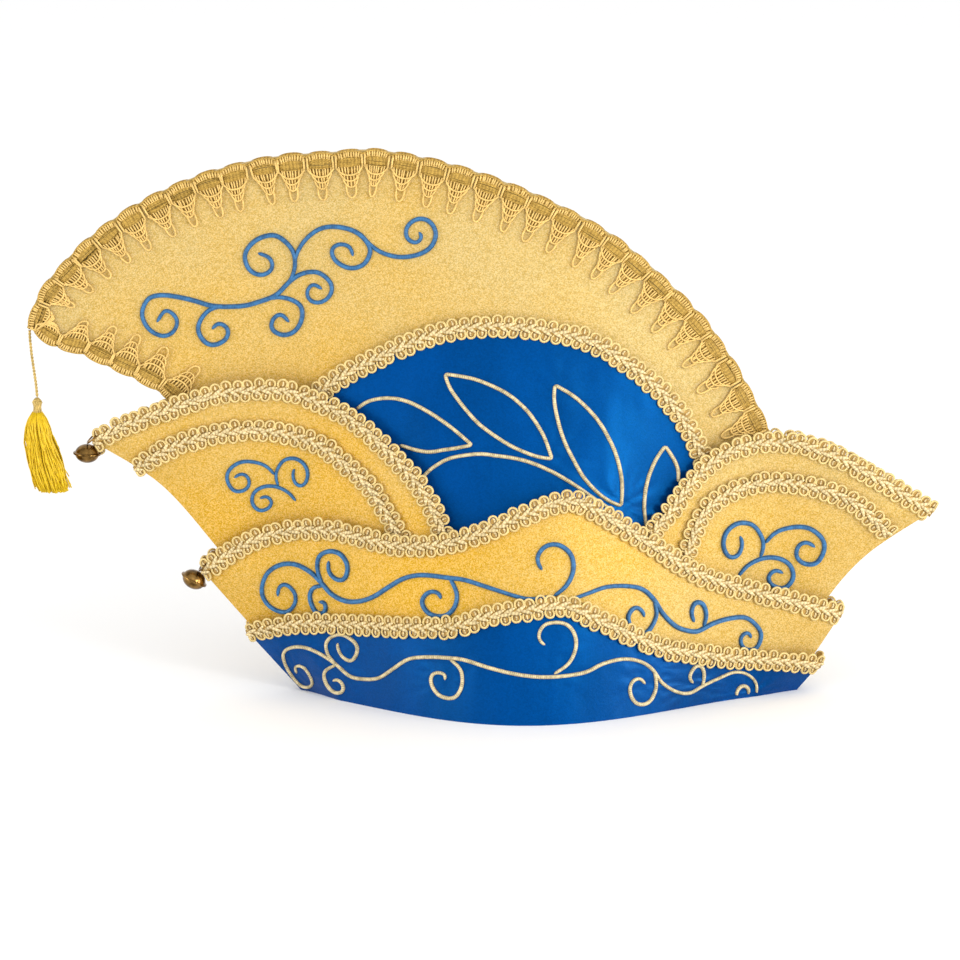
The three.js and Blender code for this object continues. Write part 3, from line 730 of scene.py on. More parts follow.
def lace_mesh(name, line, points_up, bulge, random):
    """Lace along a line of the crown. It is drawn in at the corner where the line starts, and may bulge."""
    length, lay = ribbon("crown", line)
    count = round(length / LACE_PITCH)
    middle = (np.arange(count) + 0.5) * length / count
    lean = random.normal(0, LACE_UNEVEN["lean"], (count, 1))
    groups = []
    for kind, points in lace_threads():
        half_width, half_height, lift, finish = LACE_YARNS[kind]
        wander = random.normal(0, LACE_UNEVEN["wander"], (count, 2))
        depth = points[:, 1] - LACE_RISE + wander[:, 1:]
        place = np.clip(middle[:, None] + points[:, 0] + wander[:, :1] + lean * depth, 0, length)
        reach = LACE_CORNER["reach"] + LACE_CORNER["slope"] * place
        depth = np.where(depth > 0, reach * np.tanh(depth / reach), depth)
        if bulge:
            depth = depth - bulge["rise"] * np.exp(-(((place - bulge["at"]) / bulge["run"]) ** 2))
        centre, normal = lay(place, depth if points_up else -depth, lift + half_height)
        groups.append(tubes(centre, normal, half_width, half_height, LACE_SIDES[finish], finish=finish))
    return thread_mesh(name, groups)


# Materials
# Sockets of a Mix node that mixes colours
MIX_FACTOR, MIX_A, MIX_B, MIX_RESULT = 0, 6, 7, 2
# Where the foil is painted paler: an axis, a stretch along it and the paling at the stretch's ends. It is
# paler towards the crest, and paler towards both ends as painted sheen
FOIL_PALING = [
    ("Z", (80, 240), (-0.2, 0.18)),
    # The two stretches along X are painted sheen
    ("X", (-40, 100), (-0.15, 0.13)),
    ("X", (-200, -100), (0.14, 0)),
]
# The share round a stitched thread at which its top is, and how far the top reaches to either side. Its
# sides beyond the top are darkened as painted shade
STITCH_CROWN = {"at": 3 / 16, "reach": 0.13}


def linear(hex_colour):
    """An sRGB hex colour as linear red, green, blue and alpha."""
    channels = [int(hex_colour[i : i + 2], 16) / 255 for i in (1, 3, 5)]
    return [c / 12.92 if c <= 0.04045 else ((c + 0.055) / 1.055) ** 2.4 for c in channels] + [1]


def fill(tree, made, inputs):
    """Gives a node's inputs their values, or links them to other nodes' outputs."""
    for socket, value in inputs.items():
        if isinstance(value, bpy.types.NodeSocket):
            tree.links.new(value, made.inputs[socket])
        else:
            made.inputs[socket].default_value = value


def node(tree, kind, inputs=None, **settings):
    """A node with its settings and its inputs."""
    made = tree.nodes.new(kind)
    for name, value in settings.items():
        setattr(made, name, value)
    fill(tree, made, inputs or {})
    return made


def blank(name):
    """A new material, its node tree and its shader."""
    material = bpy.data.materials.new(name)
    material.use_nodes = True
    return material, material.node_tree, material.node_tree.nodes["Principled BSDF"]


def shade(colour, value, depth=1):
    """A colour made darker or lighter by its value, and deeper or paler by its depth."""
    return [value * channel**depth for channel in colour[:3]] + [1]


def per_mm(size):
    """The texture scale, in repeats per metre, of a pattern of that size in millimetres."""
    return 1 / (size * MM)


def gold_lame(deep, pale):
    """Lame: a knit printed with gold foil, which is paler towards the crest, and painted paler towards both
    ends as painted sheen. It is crazed into fine flakes that catch the light singly, and the dark ones are
    deeper in colour. Real flakes are under 0.3 mm wide, and are drawn coarser here so that they show."""
    material, tree, shader = blank("Gold lame")
    place = node(tree, "ShaderNodeTexCoord").outputs["Object"]
    flakes = node(tree, "ShaderNodeTexVoronoi", {"Vector": place, "Scale": per_mm(0.46)}).outputs["Color"]
    grain = node(tree, "ShaderNodeSeparateColor", {"Color": flakes}).outputs
    clouds = node(tree, "ShaderNodeTexNoise", {"Vector": place, "Scale": per_mm(60), "Detail": 2})
    side = node(tree, "ShaderNodeSeparateXYZ", {"Vector": place}).outputs
    paler = node(
        tree, "ShaderNodeMath", {0: clouds.outputs["Fac"], 1: 0.6}, operation="MULTIPLY"
    ).outputs[0]
    # Paler towards the crest, and painted sheen towards both ends
    for axis, (start, end), (low, high) in FOIL_PALING:
        stretched = {"Value": side[axis], "From Min": start * MM, "From Max": end * MM}
        painted = node(tree, "ShaderNodeMapRange", {**stretched, "To Min": low, "To Max": high})
        paler = node(
            tree, "ShaderNodeMath", {0: paler, 1: painted.outputs["Result"]}, operation="ADD"
        ).outputs[0]
    mixed = node(
        tree, "ShaderNodeMath", {0: grain["Green"], 1: 0.3, 2: paler}, operation="MULTIPLY_ADD"
    ).outputs[0]
    blend = node(tree, "ShaderNodeMix", {MIX_FACTOR: mixed, MIX_A: deep, MIX_B: pale}, data_type="RGBA")
    glint = node(tree, "ShaderNodeMapRange", {"Value": grain["Red"], "To Min": 0.74, "To Max": 1.14})
    depth = node(tree, "ShaderNodeMapRange", {"Value": grain["Red"], "To Min": 1.1, "To Max": 0.92})
    foil = node(
        tree,
        "ShaderNodeHueSaturation",
        {
            "Color": blend.outputs[MIX_RESULT],
            "Saturation": depth.outputs["Result"],
            "Value": glint.outputs["Result"],
        },
    )
    bump = node(tree, "ShaderNodeBump", {"Height": grain["Red"], "Strength": 0.3, "Distance": 0.2 * MM})
    finish = {"Roughness": 0.48, "Metallic": 0.2, "Specular IOR Level": 0.3, "Specular Tint": pale}
    fill(tree, shader, finish)
    fill(tree, shader, {"Base Color": foil.outputs["Color"], "Normal": bump.outputs["Normal"]})
    return material


def blue_satin(colour, shine):
    """Polyester satin: long floats of thread that lie side by side and shine in a lighter blue. Broad
    patches, stretched up and down, are painted lighter and darker at random as painted sheen. Its grain is
    drawn coarser than the threads, so that it shows."""
    material, tree, shader = blank("Blue satin")
    place = node(tree, "ShaderNodeTexCoord").outputs["Object"]
    hung = node(tree, "ShaderNodeMapping", {"Vector": place, "Scale": (1, 1, 0.5)}).outputs["Vector"]
    clouds = node(tree, "ShaderNodeTexNoise", {"Vector": hung, "Scale": per_mm(30), "Detail": 2})
    glints = node(tree, "ShaderNodeTexVoronoi", {"Vector": place, "Scale": per_mm(0.65)}).outputs["Color"]
    grain = node(tree, "ShaderNodeSeparateColor", {"Color": glints}).outputs["Red"]
    # Painted sheen: broad cloudy patches mix the satin between a darker and a lighter blue
    tone = node(
        tree,
        "ShaderNodeMapRange",
        {"Value": clouds.outputs["Fac"], "From Min": 0.32, "From Max": 0.68, "To Max": 0.62},
    ).outputs["Result"]
    mixed = node(tree, "ShaderNodeMath", {0: grain, 1: 0.55, 2: tone}, operation="MULTIPLY_ADD").outputs[0]
    blend = node(
        tree,
        "ShaderNodeMix",
        {MIX_FACTOR: mixed, MIX_A: shade(colour, 0.75), MIX_B: shade(colour, 1.35)},
        data_type="RGBA",
    )
    puckers = node(tree, "ShaderNodeTexNoise", {"Vector": hung, "Scale": per_mm(36), "Detail": 2})
    fine = node(tree, "ShaderNodeBump", {"Height": grain, "Strength": 0.22, "Distance": 0.2 * MM})
    bump = node(
        tree,
        "ShaderNodeBump",
        {
            "Height": puckers.outputs["Fac"],
            "Strength": 0.35,
            "Distance": 6 * MM,
            "Normal": fine.outputs["Normal"],
        },
    )
    fill(tree, shader, {"Roughness": 0.3, "Specular IOR Level": 1, "Specular Tint": shine})
    fill(tree, shader, {"Base Color": blend.outputs[MIX_RESULT], "Normal": bump.outputs["Normal"]})
    return material


def thread(name, colour, depth, pitch, slant=1, relief=0.4, metallic=0.1, sheen=0, flank_shade=0):
    """Thread wound or laid in fine turns, which show as slanting ribs along its UV map. Its hollows are
    painted deeper and darker in colour than its crowns, as painted shade. A stitched line may be painted
    darker along its sides too, as painted shade where the stitches turn in. The ribs are drawn about two
    turns apart, so that they show."""
    material, tree, shader = blank(name)
    coordinates = node(tree, "ShaderNodeTexCoord")
    turned = node(
        tree,
        "ShaderNodeMapping",
        {"Vector": coordinates.outputs["UV"], "Scale": (1 / pitch, slant, 1)},
    )
    ribs = node(
        tree,
        "ShaderNodeTexWave",
        {"Vector": turned.outputs["Vector"], "Scale": 2 / math.tau, "Distortion": 0.4},
        bands_direction="DIAGONAL",
    ).outputs["Fac"]
    tone = node(
        tree,
        "ShaderNodeTexNoise",
        {"Vector": coordinates.outputs["Object"], "Scale": per_mm(2.2), "Detail": 2},
    ).outputs["Fac"]
    # Painted shade: the ribs' hollows are mixed towards a darker, deeper colour
    mixed = node(tree, "ShaderNodeMath", {0: ribs, 1: relief, 2: tone}, operation="MULTIPLY_ADD").outputs[0]
    spread = node(tree, "ShaderNodeMapRange", {"Value": mixed, "From Min": 0.3, "From Max": 0.6 + relief})
    blend = node(
        tree,
        "ShaderNodeMix",
        {MIX_FACTOR: spread.outputs["Result"], MIX_A: shade(colour, depth, 1.15), MIX_B: shade(colour, 1)},
        data_type="RGBA",
    )
    # Painted shade along the sides of a stitched line: outside the thread's top its colour is darkened
    around = node(tree, "ShaderNodeSeparateXYZ", {"Vector": coordinates.outputs["UV"]}).outputs["Y"]
    crown = node(
        tree,
        "ShaderNodeMath",
        {0: around, 1: STITCH_CROWN["at"], 2: STITCH_CROWN["reach"]},
        operation="COMPARE",
    ).outputs[0]
    value = node(tree, "ShaderNodeMapRange", {"Value": crown, "To Min": 1 - flank_shade, "To Max": 1})
    laid = node(
        tree,
        "ShaderNodeHueSaturation",
        {"Color": blend.outputs[MIX_RESULT], "Value": value.outputs["Result"]},
    )
    bump = node(tree, "ShaderNodeBump", {"Height": ribs, "Strength": relief, "Distance": 0.2 * MM})
    down = {"Sheen Weight": sheen, "Sheen Roughness": 0.4, "Sheen Tint": shade(colour, 3, 0.8)}
    fill(tree, shader, {"Roughness": 0.42, "Metallic": metallic, "Specular IOR Level": 0.3, **down})
    fill(tree, shader, {"Base Color": laid.outputs["Color"], "Normal": bump.outputs["Normal"]})
    return material


def aged_brass(colour):
    """Stamped brass, mottled darker and lighter at random, partly as browning with age and partly as painted
    reflection of dark surroundings.
    """
    material, tree, shader = blank("Aged brass")
    place = node(tree, "ShaderNodeTexCoord").outputs["Object"]
    patina_and_reflection = node(tree, "ShaderNodeTexNoise", {"Vector": place, "Scale": per_mm(4), "Detail": 4})
    spread = node(
        tree, "ShaderNodeMapRange", {"Value": patina_and_reflection.outputs["Fac"], "From Min": 0.35, "From Max": 0.7}
    )
    # Dark blotches: partly browning, partly painted reflection of dark surroundings
    blend = node(
        tree,
        "ShaderNodeMix",
        {MIX_FACTOR: spread.outputs["Result"], MIX_A: shade(colour, 0.25, 1.1), MIX_B: shade(colour, 1)},
        data_type="RGBA",
    )
    fill(tree, shader, {"Base Color": blend.outputs[MIX_RESULT], "Roughness": 0.24, "Metallic": 1})
    return material


# Hanging pieces
RAYON, GOLD = range(2)


def turned_y(angle):
    """A turn about the axis that runs across the cap."""
    return Matrix.Rotation(angle, 4, "Y")


def moved(x, z):
    """A move in the cap's middle plane."""
    return Matrix.Translation(Vector((x, 0, z)) * MM)


def bell_mesh(name, place):
    """A hollow bell of two stamped halves that meet in a flange, with a slot below. It hangs from the
    origin, and is then put in its place."""
    bm = bmesh.new()
    height = BELL["radius"] * BELL["squash"]
    middle = -(height + BELL["drop"])
    angles = [math.pi / 2 * (1 - row / BELL["rows"]) for row in range(BELL["rows"])]
    upper = [(BELL["radius"] * math.cos(angle), height * math.sin(angle)) for angle in angles]
    lower = [(r, -z) for r, z in reversed(upper)]
    profile = upper + BELL_FLANGE + lower
    verts = [bm.verts.new(Vector((max(r, BELL["pole"]), 0, z + middle)) * MM) for r, z in profile]
    edges = [bm.edges.new(pair) for pair in zip(verts, verts[1:])]
    bmesh.ops.spin(
        bm,
        geom=verts + edges,
        cent=(0, 0, 0),
        axis=(0, 0, 1),
        angle=math.tau,
        steps=BELL["sides"],
        use_merge=True,
    )
    bmesh.ops.remove_doubles(bm, verts=bm.verts[:], dist=MERGE_WITHIN * MM)
    bmesh.ops.recalc_face_normals(bm, faces=bm.faces[:])
    slot_top = middle - BELL_SLOT["below"] * height
    slot = []
    for face in bm.faces:
        centre = face.calc_center_median() / MM
        if centre.z < slot_top and abs(centre.y) < BELL_SLOT["half_width"]:
            slot.append(face)
    bmesh.ops.delete(bm, geom=slot, context="FACES")
    bmesh.ops.solidify(bm, geom=bm.faces[:], thickness=BELL["wall"] * MM)
    bm.transform(place)
    return finished(bm, name)


def oval(half, drop, count=32):
    """A closed oval line in the plane across the cap, hung below the origin."""
    turn = np.arange(count) / count * math.tau
    return np.column_stack([0 * turn, half[0] * np.sin(turn), half[1] * np.cos(turn) - drop])[None]


def wire_mesh(name, line, radius, place):
    """A closed ring of wire, put in its place."""
    outwards = unit(line - line.mean(axis=1, keepdims=True))
    mesh = thread_mesh(name, [tubes(line, outwards, radius, radius, sides=8, closed=True)])
    mesh.transform(place)
    return mesh


def cord_mesh(name):
    """Two plies twisted round each other along the cord's route."""
    line = spline(CORD_ROUTE, CORD_POINTS)
    along = np.linspace(0, np.linalg.norm(np.diff(line, axis=0), axis=1).sum(), len(line))
    radius = CORD_DIAMETER / 4
    plies = []
    for start in (0, math.pi):
        turn = along / CORD_LAY * math.tau + start
        plies.append(line + radius * np.column_stack([np.cos(turn), np.sin(turn), 0 * turn]))
    centre = np.array(plies)
    normal = np.broadcast_to([0.0, -1.0, 0.0], centre.shape)
    return thread_mesh(name, [tubes(centre, normal, radius, radius, sides=6)])


def tassel_skirt(random):
    """A bushy skirt of fine threads that cling together in wavy locks and sway to the back."""
    count, locks = SKIRT["threads"], LOCKS["count"]
    lock = random.integers(0, locks, count)
    share = np.linspace(0, 1, SKIRT["points"])
    around = random.uniform(0, math.tau, locks)[lock] + random.normal(0, LOCKS["turn"], count)
    reach = np.sqrt(random.uniform(LOCKS["innermost"], 1, locks))[lock]
    reach = reach + random.normal(0, LOCKS["reach"], count)
    shorter = SKIRT["uneven"] * random.uniform(0, 1, (count, 1)) ** 3
    length = SKIRT["length"] * (SKIRT["longest"] - shorter)
    swell = np.interp(share, SKIRT["swell_at"], SKIRT["swell"])
    waves = random.uniform(*LOCKS["waves"], (2, locks))
    phase = random.uniform(0, math.tau, (2, locks))
    wave = LOCKS["wave"] * np.sin(share * waves[:, lock, None] + phase[:, lock, None])
    curls = random.uniform(*LOCKS["curls"], (2, count, 1))
    phase = random.uniform(0, math.tau, (2, count, 1))
    wave = wave + LOCKS["curl"] * np.sin(share * curls + phase)
    wave = wave * np.sin(np.minimum(1, LOCKS["bound"] * share) * np.pi / 2)
    sway = SKIRT["sway"] * share ** SKIRT["sway_curve"]
    x = (reach * np.cos(around))[:, None] * swell + wave[0] + sway
    y = (reach * np.sin(around))[:, None] * swell + wave[1]
    centre = np.stack([x, y, -SKIRT["top"] - length * share], -1)
    normal = np.broadcast_to([0.0, -1.0, 0.02], centre.shape)
    return tubes(centre, normal, SKIRT["thread_radius"], SKIRT["thread_radius"], sides=4, finish=RAYON)


def tassel_collar():
    """Rounds of gold thread that draw the skirt in to a waist."""
    turn = np.arange(COLLAR["points"]) / COLLAR["points"] * math.tau
    levels = np.linspace(COLLAR["top"], COLLAR["foot"], COLLAR["rounds"])[:, None]
    waist = COLLAR["waist"] * np.sin(np.pi * (levels - levels[0]) / np.ptp(levels))
    radius = COLLAR["radius"] * (1 - waist)
    rings = np.stack([radius * np.cos(turn), radius * np.sin(turn), -levels + 0 * turn], -1)
    outwards = unit(rings * [1, 1, 0])
    return tubes(rings, outwards, COLLAR["wire"], COLLAR["wire"], sides=6, closed=True, finish=GOLD)


def tassel_knot():
    """Strands of gold thread that spread from the end of the cord to the collar."""
    angle = np.arange(KNOT["strands"])[:, None] / KNOT["strands"] * math.tau
    drop = np.linspace(0, 1, KNOT["points"])
    out = COLLAR["radius"] * (KNOT["inner"] + KNOT["spread"] * np.sin(drop * np.pi / 2))
    z = -KNOT["top"] - COLLAR["top"] * drop
    lines = np.stack([out * np.cos(angle), out * np.sin(angle), z + 0 * angle], -1)
    normal = np.broadcast_to([0.3, -1.0, 0.2], lines.shape)
    return tubes(lines, normal, *KNOT["half"], sides=5, finish=GOLD)


def tassel_mesh(name, random):
    """A knot and a collar of gold thread over a skirt of rayon."""
    mesh = thread_mesh(name, [tassel_skirt(random), tassel_collar(), tassel_knot()])
    mesh.transform(Matrix.Translation(Vector(TASSEL_TOP) * MM))
    return mesh


# Strokes of the embroidery in pixels of the photograph
CREST_STROKES = [
    [(157, 322), (166, 310), (177, 319), (174, 331), (163, 336), (149, 329), (142, 314), (148, 299),
     (161, 295), (179, 297), (196, 301), (214, 306), (241, 306), (258, 302), (276, 295), (287, 284),
     (297, 276), (308, 272), (320, 273), (331, 283), (331, 294), (322, 302), (311, 301), (307, 292),
     (313, 284), (322, 289)],
    [(228, 306), (213, 308), (203, 316), (198, 329), (204, 341), (214, 345), (226, 339), (228, 329),
     (219, 323), (212, 329)],
    [(281, 290), (291, 279), (295, 266), (294, 254), (288, 244), (274, 235), (256, 240), (245, 254),
     (249, 269), (261, 275), (272, 269), (270, 258), (258, 253)],
    [(294, 268), (297, 253), (307, 238), (322, 228), (340, 227), (358, 233), (369, 245), (370, 254),
     (363, 265), (349, 268), (335, 260), (332, 249), (340, 244), (350, 247), (353, 256)],
    [(361, 235), (372, 246), (383, 253), (399, 257), (417, 255), (431, 247), (436, 233), (429, 221),
     (417, 219), (407, 227), (407, 238), (416, 243), (422, 237), (419, 232)],
    [(264, 300), (277, 297), (290, 299), (301, 306), (302, 319), (295, 331), (283, 335), (272, 329),
     (273, 319), (281, 314), (289, 322)],
]
WHOLE_LEAVES = [
    [(357, 409), (369, 401), (389, 398), (409, 402), (432, 414), (452, 428), (472, 445)],
    [(472, 445), (457, 448), (443, 450), (430, 452), (416, 450), (400, 445)],
    [(445, 374), (459, 376), (474, 379), (490, 385), (506, 393), (518, 402), (529, 413), (538, 426),
     (545, 439), (552, 459)],
    [(552, 459), (535, 456), (513, 447), (495, 436), (479, 424), (467, 411), (456, 397), (449, 386),
     (445, 374)],
    [(555, 385), (572, 395), (586, 407), (599, 422), (609, 439), (616, 455), (621, 475), (622, 491),
     (621, 506)],
    [(621, 506), (611, 502), (599, 494), (584, 478), (574, 461), (565, 443), (559, 425), (555, 407),
     (554, 395), (555, 385)],
]
LEAF_STROKES = WHOLE_LEAVES + [
    [(665, 446), (655, 461), (647, 482), (644, 507), (647, 531)],
    [(665, 446), (673, 458), (678, 470), (678, 482)],
    [(422, 478), (430, 470), (440, 463), (451, 458), (467, 455), (482, 454), (498, 456), (513, 458),
     (529, 462), (544, 468), (558, 475), (576, 486), (593, 498), (611, 510), (622, 520)],
]
BRIM_STROKES = [
    [(278, 596), (279, 587), (286, 584), (295, 593), (295, 604), (286, 612), (271, 607), (262, 593),
     (266, 575), (279, 565), (295, 564), (311, 572), (323, 584), (332, 594), (346, 601), (361, 601),
     (375, 596), (389, 587), (405, 578), (423, 575), (450, 578), (465, 580), (490, 588), (515, 596),
     (531, 599), (554, 596)],
    [(323, 584), (318, 571), (319, 557), (329, 551), (341, 554), (348, 566), (345, 579), (336, 579),
     (329, 571), (329, 561)],
    [(323, 586), (314, 587), (310, 596), (314, 609), (320, 614), (326, 611), (325, 602), (319, 602)],
    [(450, 578), (457, 593), (455, 607), (445, 616), (430, 614), (422, 602), (429, 592), (439, 593),
     (441, 599)],
    [(554, 596), (566, 586), (573, 571), (571, 555), (559, 545), (546, 546), (538, 555), (538, 563),
     (542, 570)],
    [(573, 599), (589, 593), (606, 587), (626, 586), (642, 589), (654, 600), (662, 613), (675, 626),
     (689, 631), (698, 631), (711, 624), (726, 619), (744, 617), (755, 624), (761, 634), (757, 647),
     (748, 650), (741, 645), (741, 636), (748, 632), (751, 638)],
    [(654, 601), (656, 616), (647, 632), (637, 634), (629, 624), (628, 615), (635, 607), (642, 611),
     (644, 617)],
    [(703, 626), (706, 615), (702, 603), (694, 603), (691, 613), (694, 622)],
]
BAND_STROKES = [
    [(297, 673), (295, 666), (304, 667), (312, 679), (312, 686), (302, 686), (289, 671), (283, 655),
     (289, 648), (304, 647), (321, 654), (336, 664), (350, 676), (364, 679), (379, 678), (393, 669),
     (409, 659), (429, 657), (450, 658), (465, 660), (490, 668), (515, 674), (540, 677), (564, 676),
     (586, 672), (602, 664), (622, 659), (639, 661), (652, 669), (662, 683), (677, 692), (690, 693),
     (702, 686), (719, 678), (734, 672), (747, 674), (756, 683), (756, 695)],
    [(736, 697), (737, 690), (743, 685), (749, 689), (747, 695)],
    [(336, 664), (328, 654), (327, 641), (340, 634), (354, 641), (358, 650), (352, 661), (343, 657),
     (338, 648), (338, 643)],
    [(336, 665), (325, 671), (326, 682), (334, 692), (343, 692), (343, 684), (337, 679), (333, 681)],
    [(450, 659), (461, 670), (462, 686), (454, 698), (439, 695), (431, 682), (434, 673), (445, 674),
     (445, 680)],
    [(554, 674), (569, 663), (576, 646), (573, 631), (563, 623), (546, 624), (539, 633), (540, 641),
     (545, 645)],
    [(654, 671), (656, 687), (649, 702), (637, 704), (630, 694), (631, 683), (639, 678), (645, 684)],
    [(702, 686), (704, 676), (702, 667), (697, 665), (692, 670), (689, 678), (693, 683)],
]
REAR_STROKES = [
    [(740, 536), (742, 544), (738, 555), (729, 557), (723, 546), (726, 532), (738, 523), (753, 525),
     (762, 538), (763, 548), (760, 557)],
    [(765, 543), (776, 532), (793, 527), (809, 528), (822, 538), (824, 550), (816, 563), (803, 563),
     (796, 555), (799, 545), (807, 542), (815, 547)],
    [(738, 576), (748, 565), (763, 558), (778, 558), (790, 565), (793, 578), (784, 588), (772, 585),
     (768, 577), (775, 570), (783, 573)],
]
# The front flap carries the back flap's motif turned round, smaller
FRONT_MOTIF = {"from": np.array((773, 555)), "to": np.array((268, 484)), "scale": 0.8}
FRONT_STROKES = [
    FRONT_MOTIF["to"] + FRONT_MOTIF["scale"] * (np.array(stroke) - FRONT_MOTIF["from"]) * (-1, 1)
    for stroke in REAR_STROKES
]


# Values that a user may change
def length_property(name, description, size):
    """A length, from its size in millimetres."""
    return bpy.props.FloatProperty(
        name=name, description=description, default=size * MM, unit="LENGTH", precision=5
    )


def colour_property(name, description, hex_colour):
    """A colour, from its sRGB hex value."""
    return bpy.props.FloatVectorProperty(
        name=name, description=description, default=linear(hex_colour), subtype="COLOR", size=4, min=0, max=1
    )


class CapSizes(bpy.types.PropertyGroup):
    """Sizes of the braid and the stitches"""

    loop_pitch: length_property("Loop pitch", "Distance between the loops of the braid", 5.3)
    gimp_diameter: length_property("Gimp diameter", "Thickness of the cord in the braid's loops", 1.2)
    blue_stitch: length_property("Blue stitch", "Width of the blue satin stitch", 2.5)
    gold_stitch: length_property("Gold stitch", "Width of the gold satin stitch", 1.95)


class CapColours(bpy.types.PropertyGroup):
    """Colours of the cloth, the threads, the brass and the floor"""

    foil: colour_property("Foil", "Gold foil on the flaps and the brim", "#D2A33C")
    # The pale foil is mixed in towards the crest, and towards both ends as painted sheen
    pale_foil: colour_property("Pale foil", "Gold foil where it is rubbed paler", "#BDB083")
    satin: colour_property("Satin", "Blue satin of the side panels and the band", "#00306A")
    satin_shine: colour_property("Satin shine", "Light that the satin throws back", "#1890E8")
    gimp: colour_property("Gimp", "Cord of the braid's loops", "#EACF8C")
    plait: colour_property("Plait", "Flat strands along the middle of the braid", "#EED6A0")
    # Partly the backing yarn's own colour and partly painted shade in the braid's holes and gaps
    ground_and_shade: colour_property("Ground", "Yarn behind the braid's loops", "#BC964E")
    lace: colour_property("Lace", "Raised yarn of the lace", "#EFCA7A")
    weave: colour_property("Weave", "Dense field of the lace", "#C49E49")
    blue_thread: colour_property("Blue thread", "Embroidery on the gold cloth", "#376F9F")
    gold_thread: colour_property("Gold thread", "Embroidery on the blue satin", "#DFCDA0")
    cord: colour_property("Cord", "Twisted cord of the tassel", "#E2C272")
    rayon: colour_property("Rayon", "Threads of the tassel", "#E2BE1A")
    brass: colour_property("Brass", "Bells and their links", "#A17C44")
    paper: colour_property("Paper", "Floor", "#F7F7F7")


class CAP_OT_stage(bpy.types.Operator):
    """Add the floor, the lights and the camera"""

    bl_idname = "cap.stage"
    bl_label = "Stage"

    def execute(self, context):
        scene = context.scene
        cosine, sine = math.cos(CAMERA_ELEVATION), math.sin(CAMERA_ELEVATION)
        camera = bpy.data.objects.new("camera", bpy.data.cameras.new("camera"))
        camera.location = (Vector(CAMERA_TARGET) + CAMERA_DISTANCE * Vector((0, -cosine, sine))) * MM
        camera.rotation_euler = (math.pi / 2 - CAMERA_ELEVATION, 0, 0)
        camera.data.sensor_width = SENSOR_WIDTH
        camera.data.lens = SENSOR_WIDTH * CAMERA_DISTANCE / (FRAME_PIXELS * PIXEL_SIZE)
        camera.data.shift_x = (FRAME_PIXELS / 2 - TARGET_PIXEL[0]) / FRAME_PIXELS
        camera.data.shift_y = (TARGET_PIXEL[1] - FRAME_PIXELS / 2) / FRAME_PIXELS
        camera.data.clip_end = CAMERA_REACH * MM
        scene.collection.objects.link(camera)
        scene.camera = camera
        scene.view_settings.view_transform = "Standard"

        bm = bmesh.new()
        bmesh.ops.create_grid(bm, x_segments=1, y_segments=1, size=FLOOR_HALF * MM)
        mesh = bpy.data.meshes.new("floor")
        bm.to_mesh(mesh)
        bm.free()
        material, tree, shader = blank("Paper")
        fill(tree, shader, {"Base Color": scene.cap_colours.paper, "Roughness": 0.9})
        mesh.materials.append(material)
        floor = bpy.data.objects.new("floor", mesh)
        scene.collection.objects.link(floor)

        world = bpy.data.worlds.new("studio")
        world.use_nodes = True
        background = world.node_tree.nodes["Background"]
        fill(world.node_tree, background, {"Color": (1, 1, 1, 1), "Strength": ROOM_STRENGTH})
        scene.world = world
        light = bpy.data.lights.new("sun", "SUN")
        light.energy = SUN["strength"]
        light.angle = SUN["angle"]
        lamp = bpy.data.objects.new("sun", light)
        lamp.rotation_euler = Vector(SUN["from"]).to_track_quat("Z", "Y").to_euler()
        scene.collection.objects.link(lamp)
        for name, softbox in SOFTBOXES.items():
            light = bpy.data.lights.new(name, "AREA")
            light.size = softbox["size"] * MM
            light.energy = softbox["power"]
            lamp = bpy.data.objects.new(name, light)
            lamp.location = Vector(softbox["place"]) * MM
            aim = Vector(CAMERA_TARGET) * MM - lamp.location
            lamp.rotation_euler = aim.to_track_quat("-Z", "Y").to_euler()
            scene.collection.objects.link(lamp)
        return {"FINISHED"}


class CAP_OT_tassel(bpy.types.Operator):
    """Hang the tassel on its twisted cord from the tip of the crest"""

    bl_idname = "cap.tassel"
    bl_label = "Tassel and cord"

    def execute(self, context):
        random = np.random.default_rng(SEED)
        colours = context.scene.cap_colours
        gold = thread("Twisted gold cord", colours.cord, depth=0.35, pitch=0.5)
        rayon = thread("Yellow rayon", colours.rayon, depth=0.85, pitch=0.6, relief=0, metallic=0, sheen=0.3)
        threads = tassel_mesh("tassel_threads", random)
        tassel = show(threads, "tassel_threads", [rayon, gold], "tassel", slot="yellow_rayon")
        cord = show(cord_mesh("twisted_cord"), "twisted_cord", [gold], "tassel_cord", slot="gold_cord")
        return {"FINISHED"}


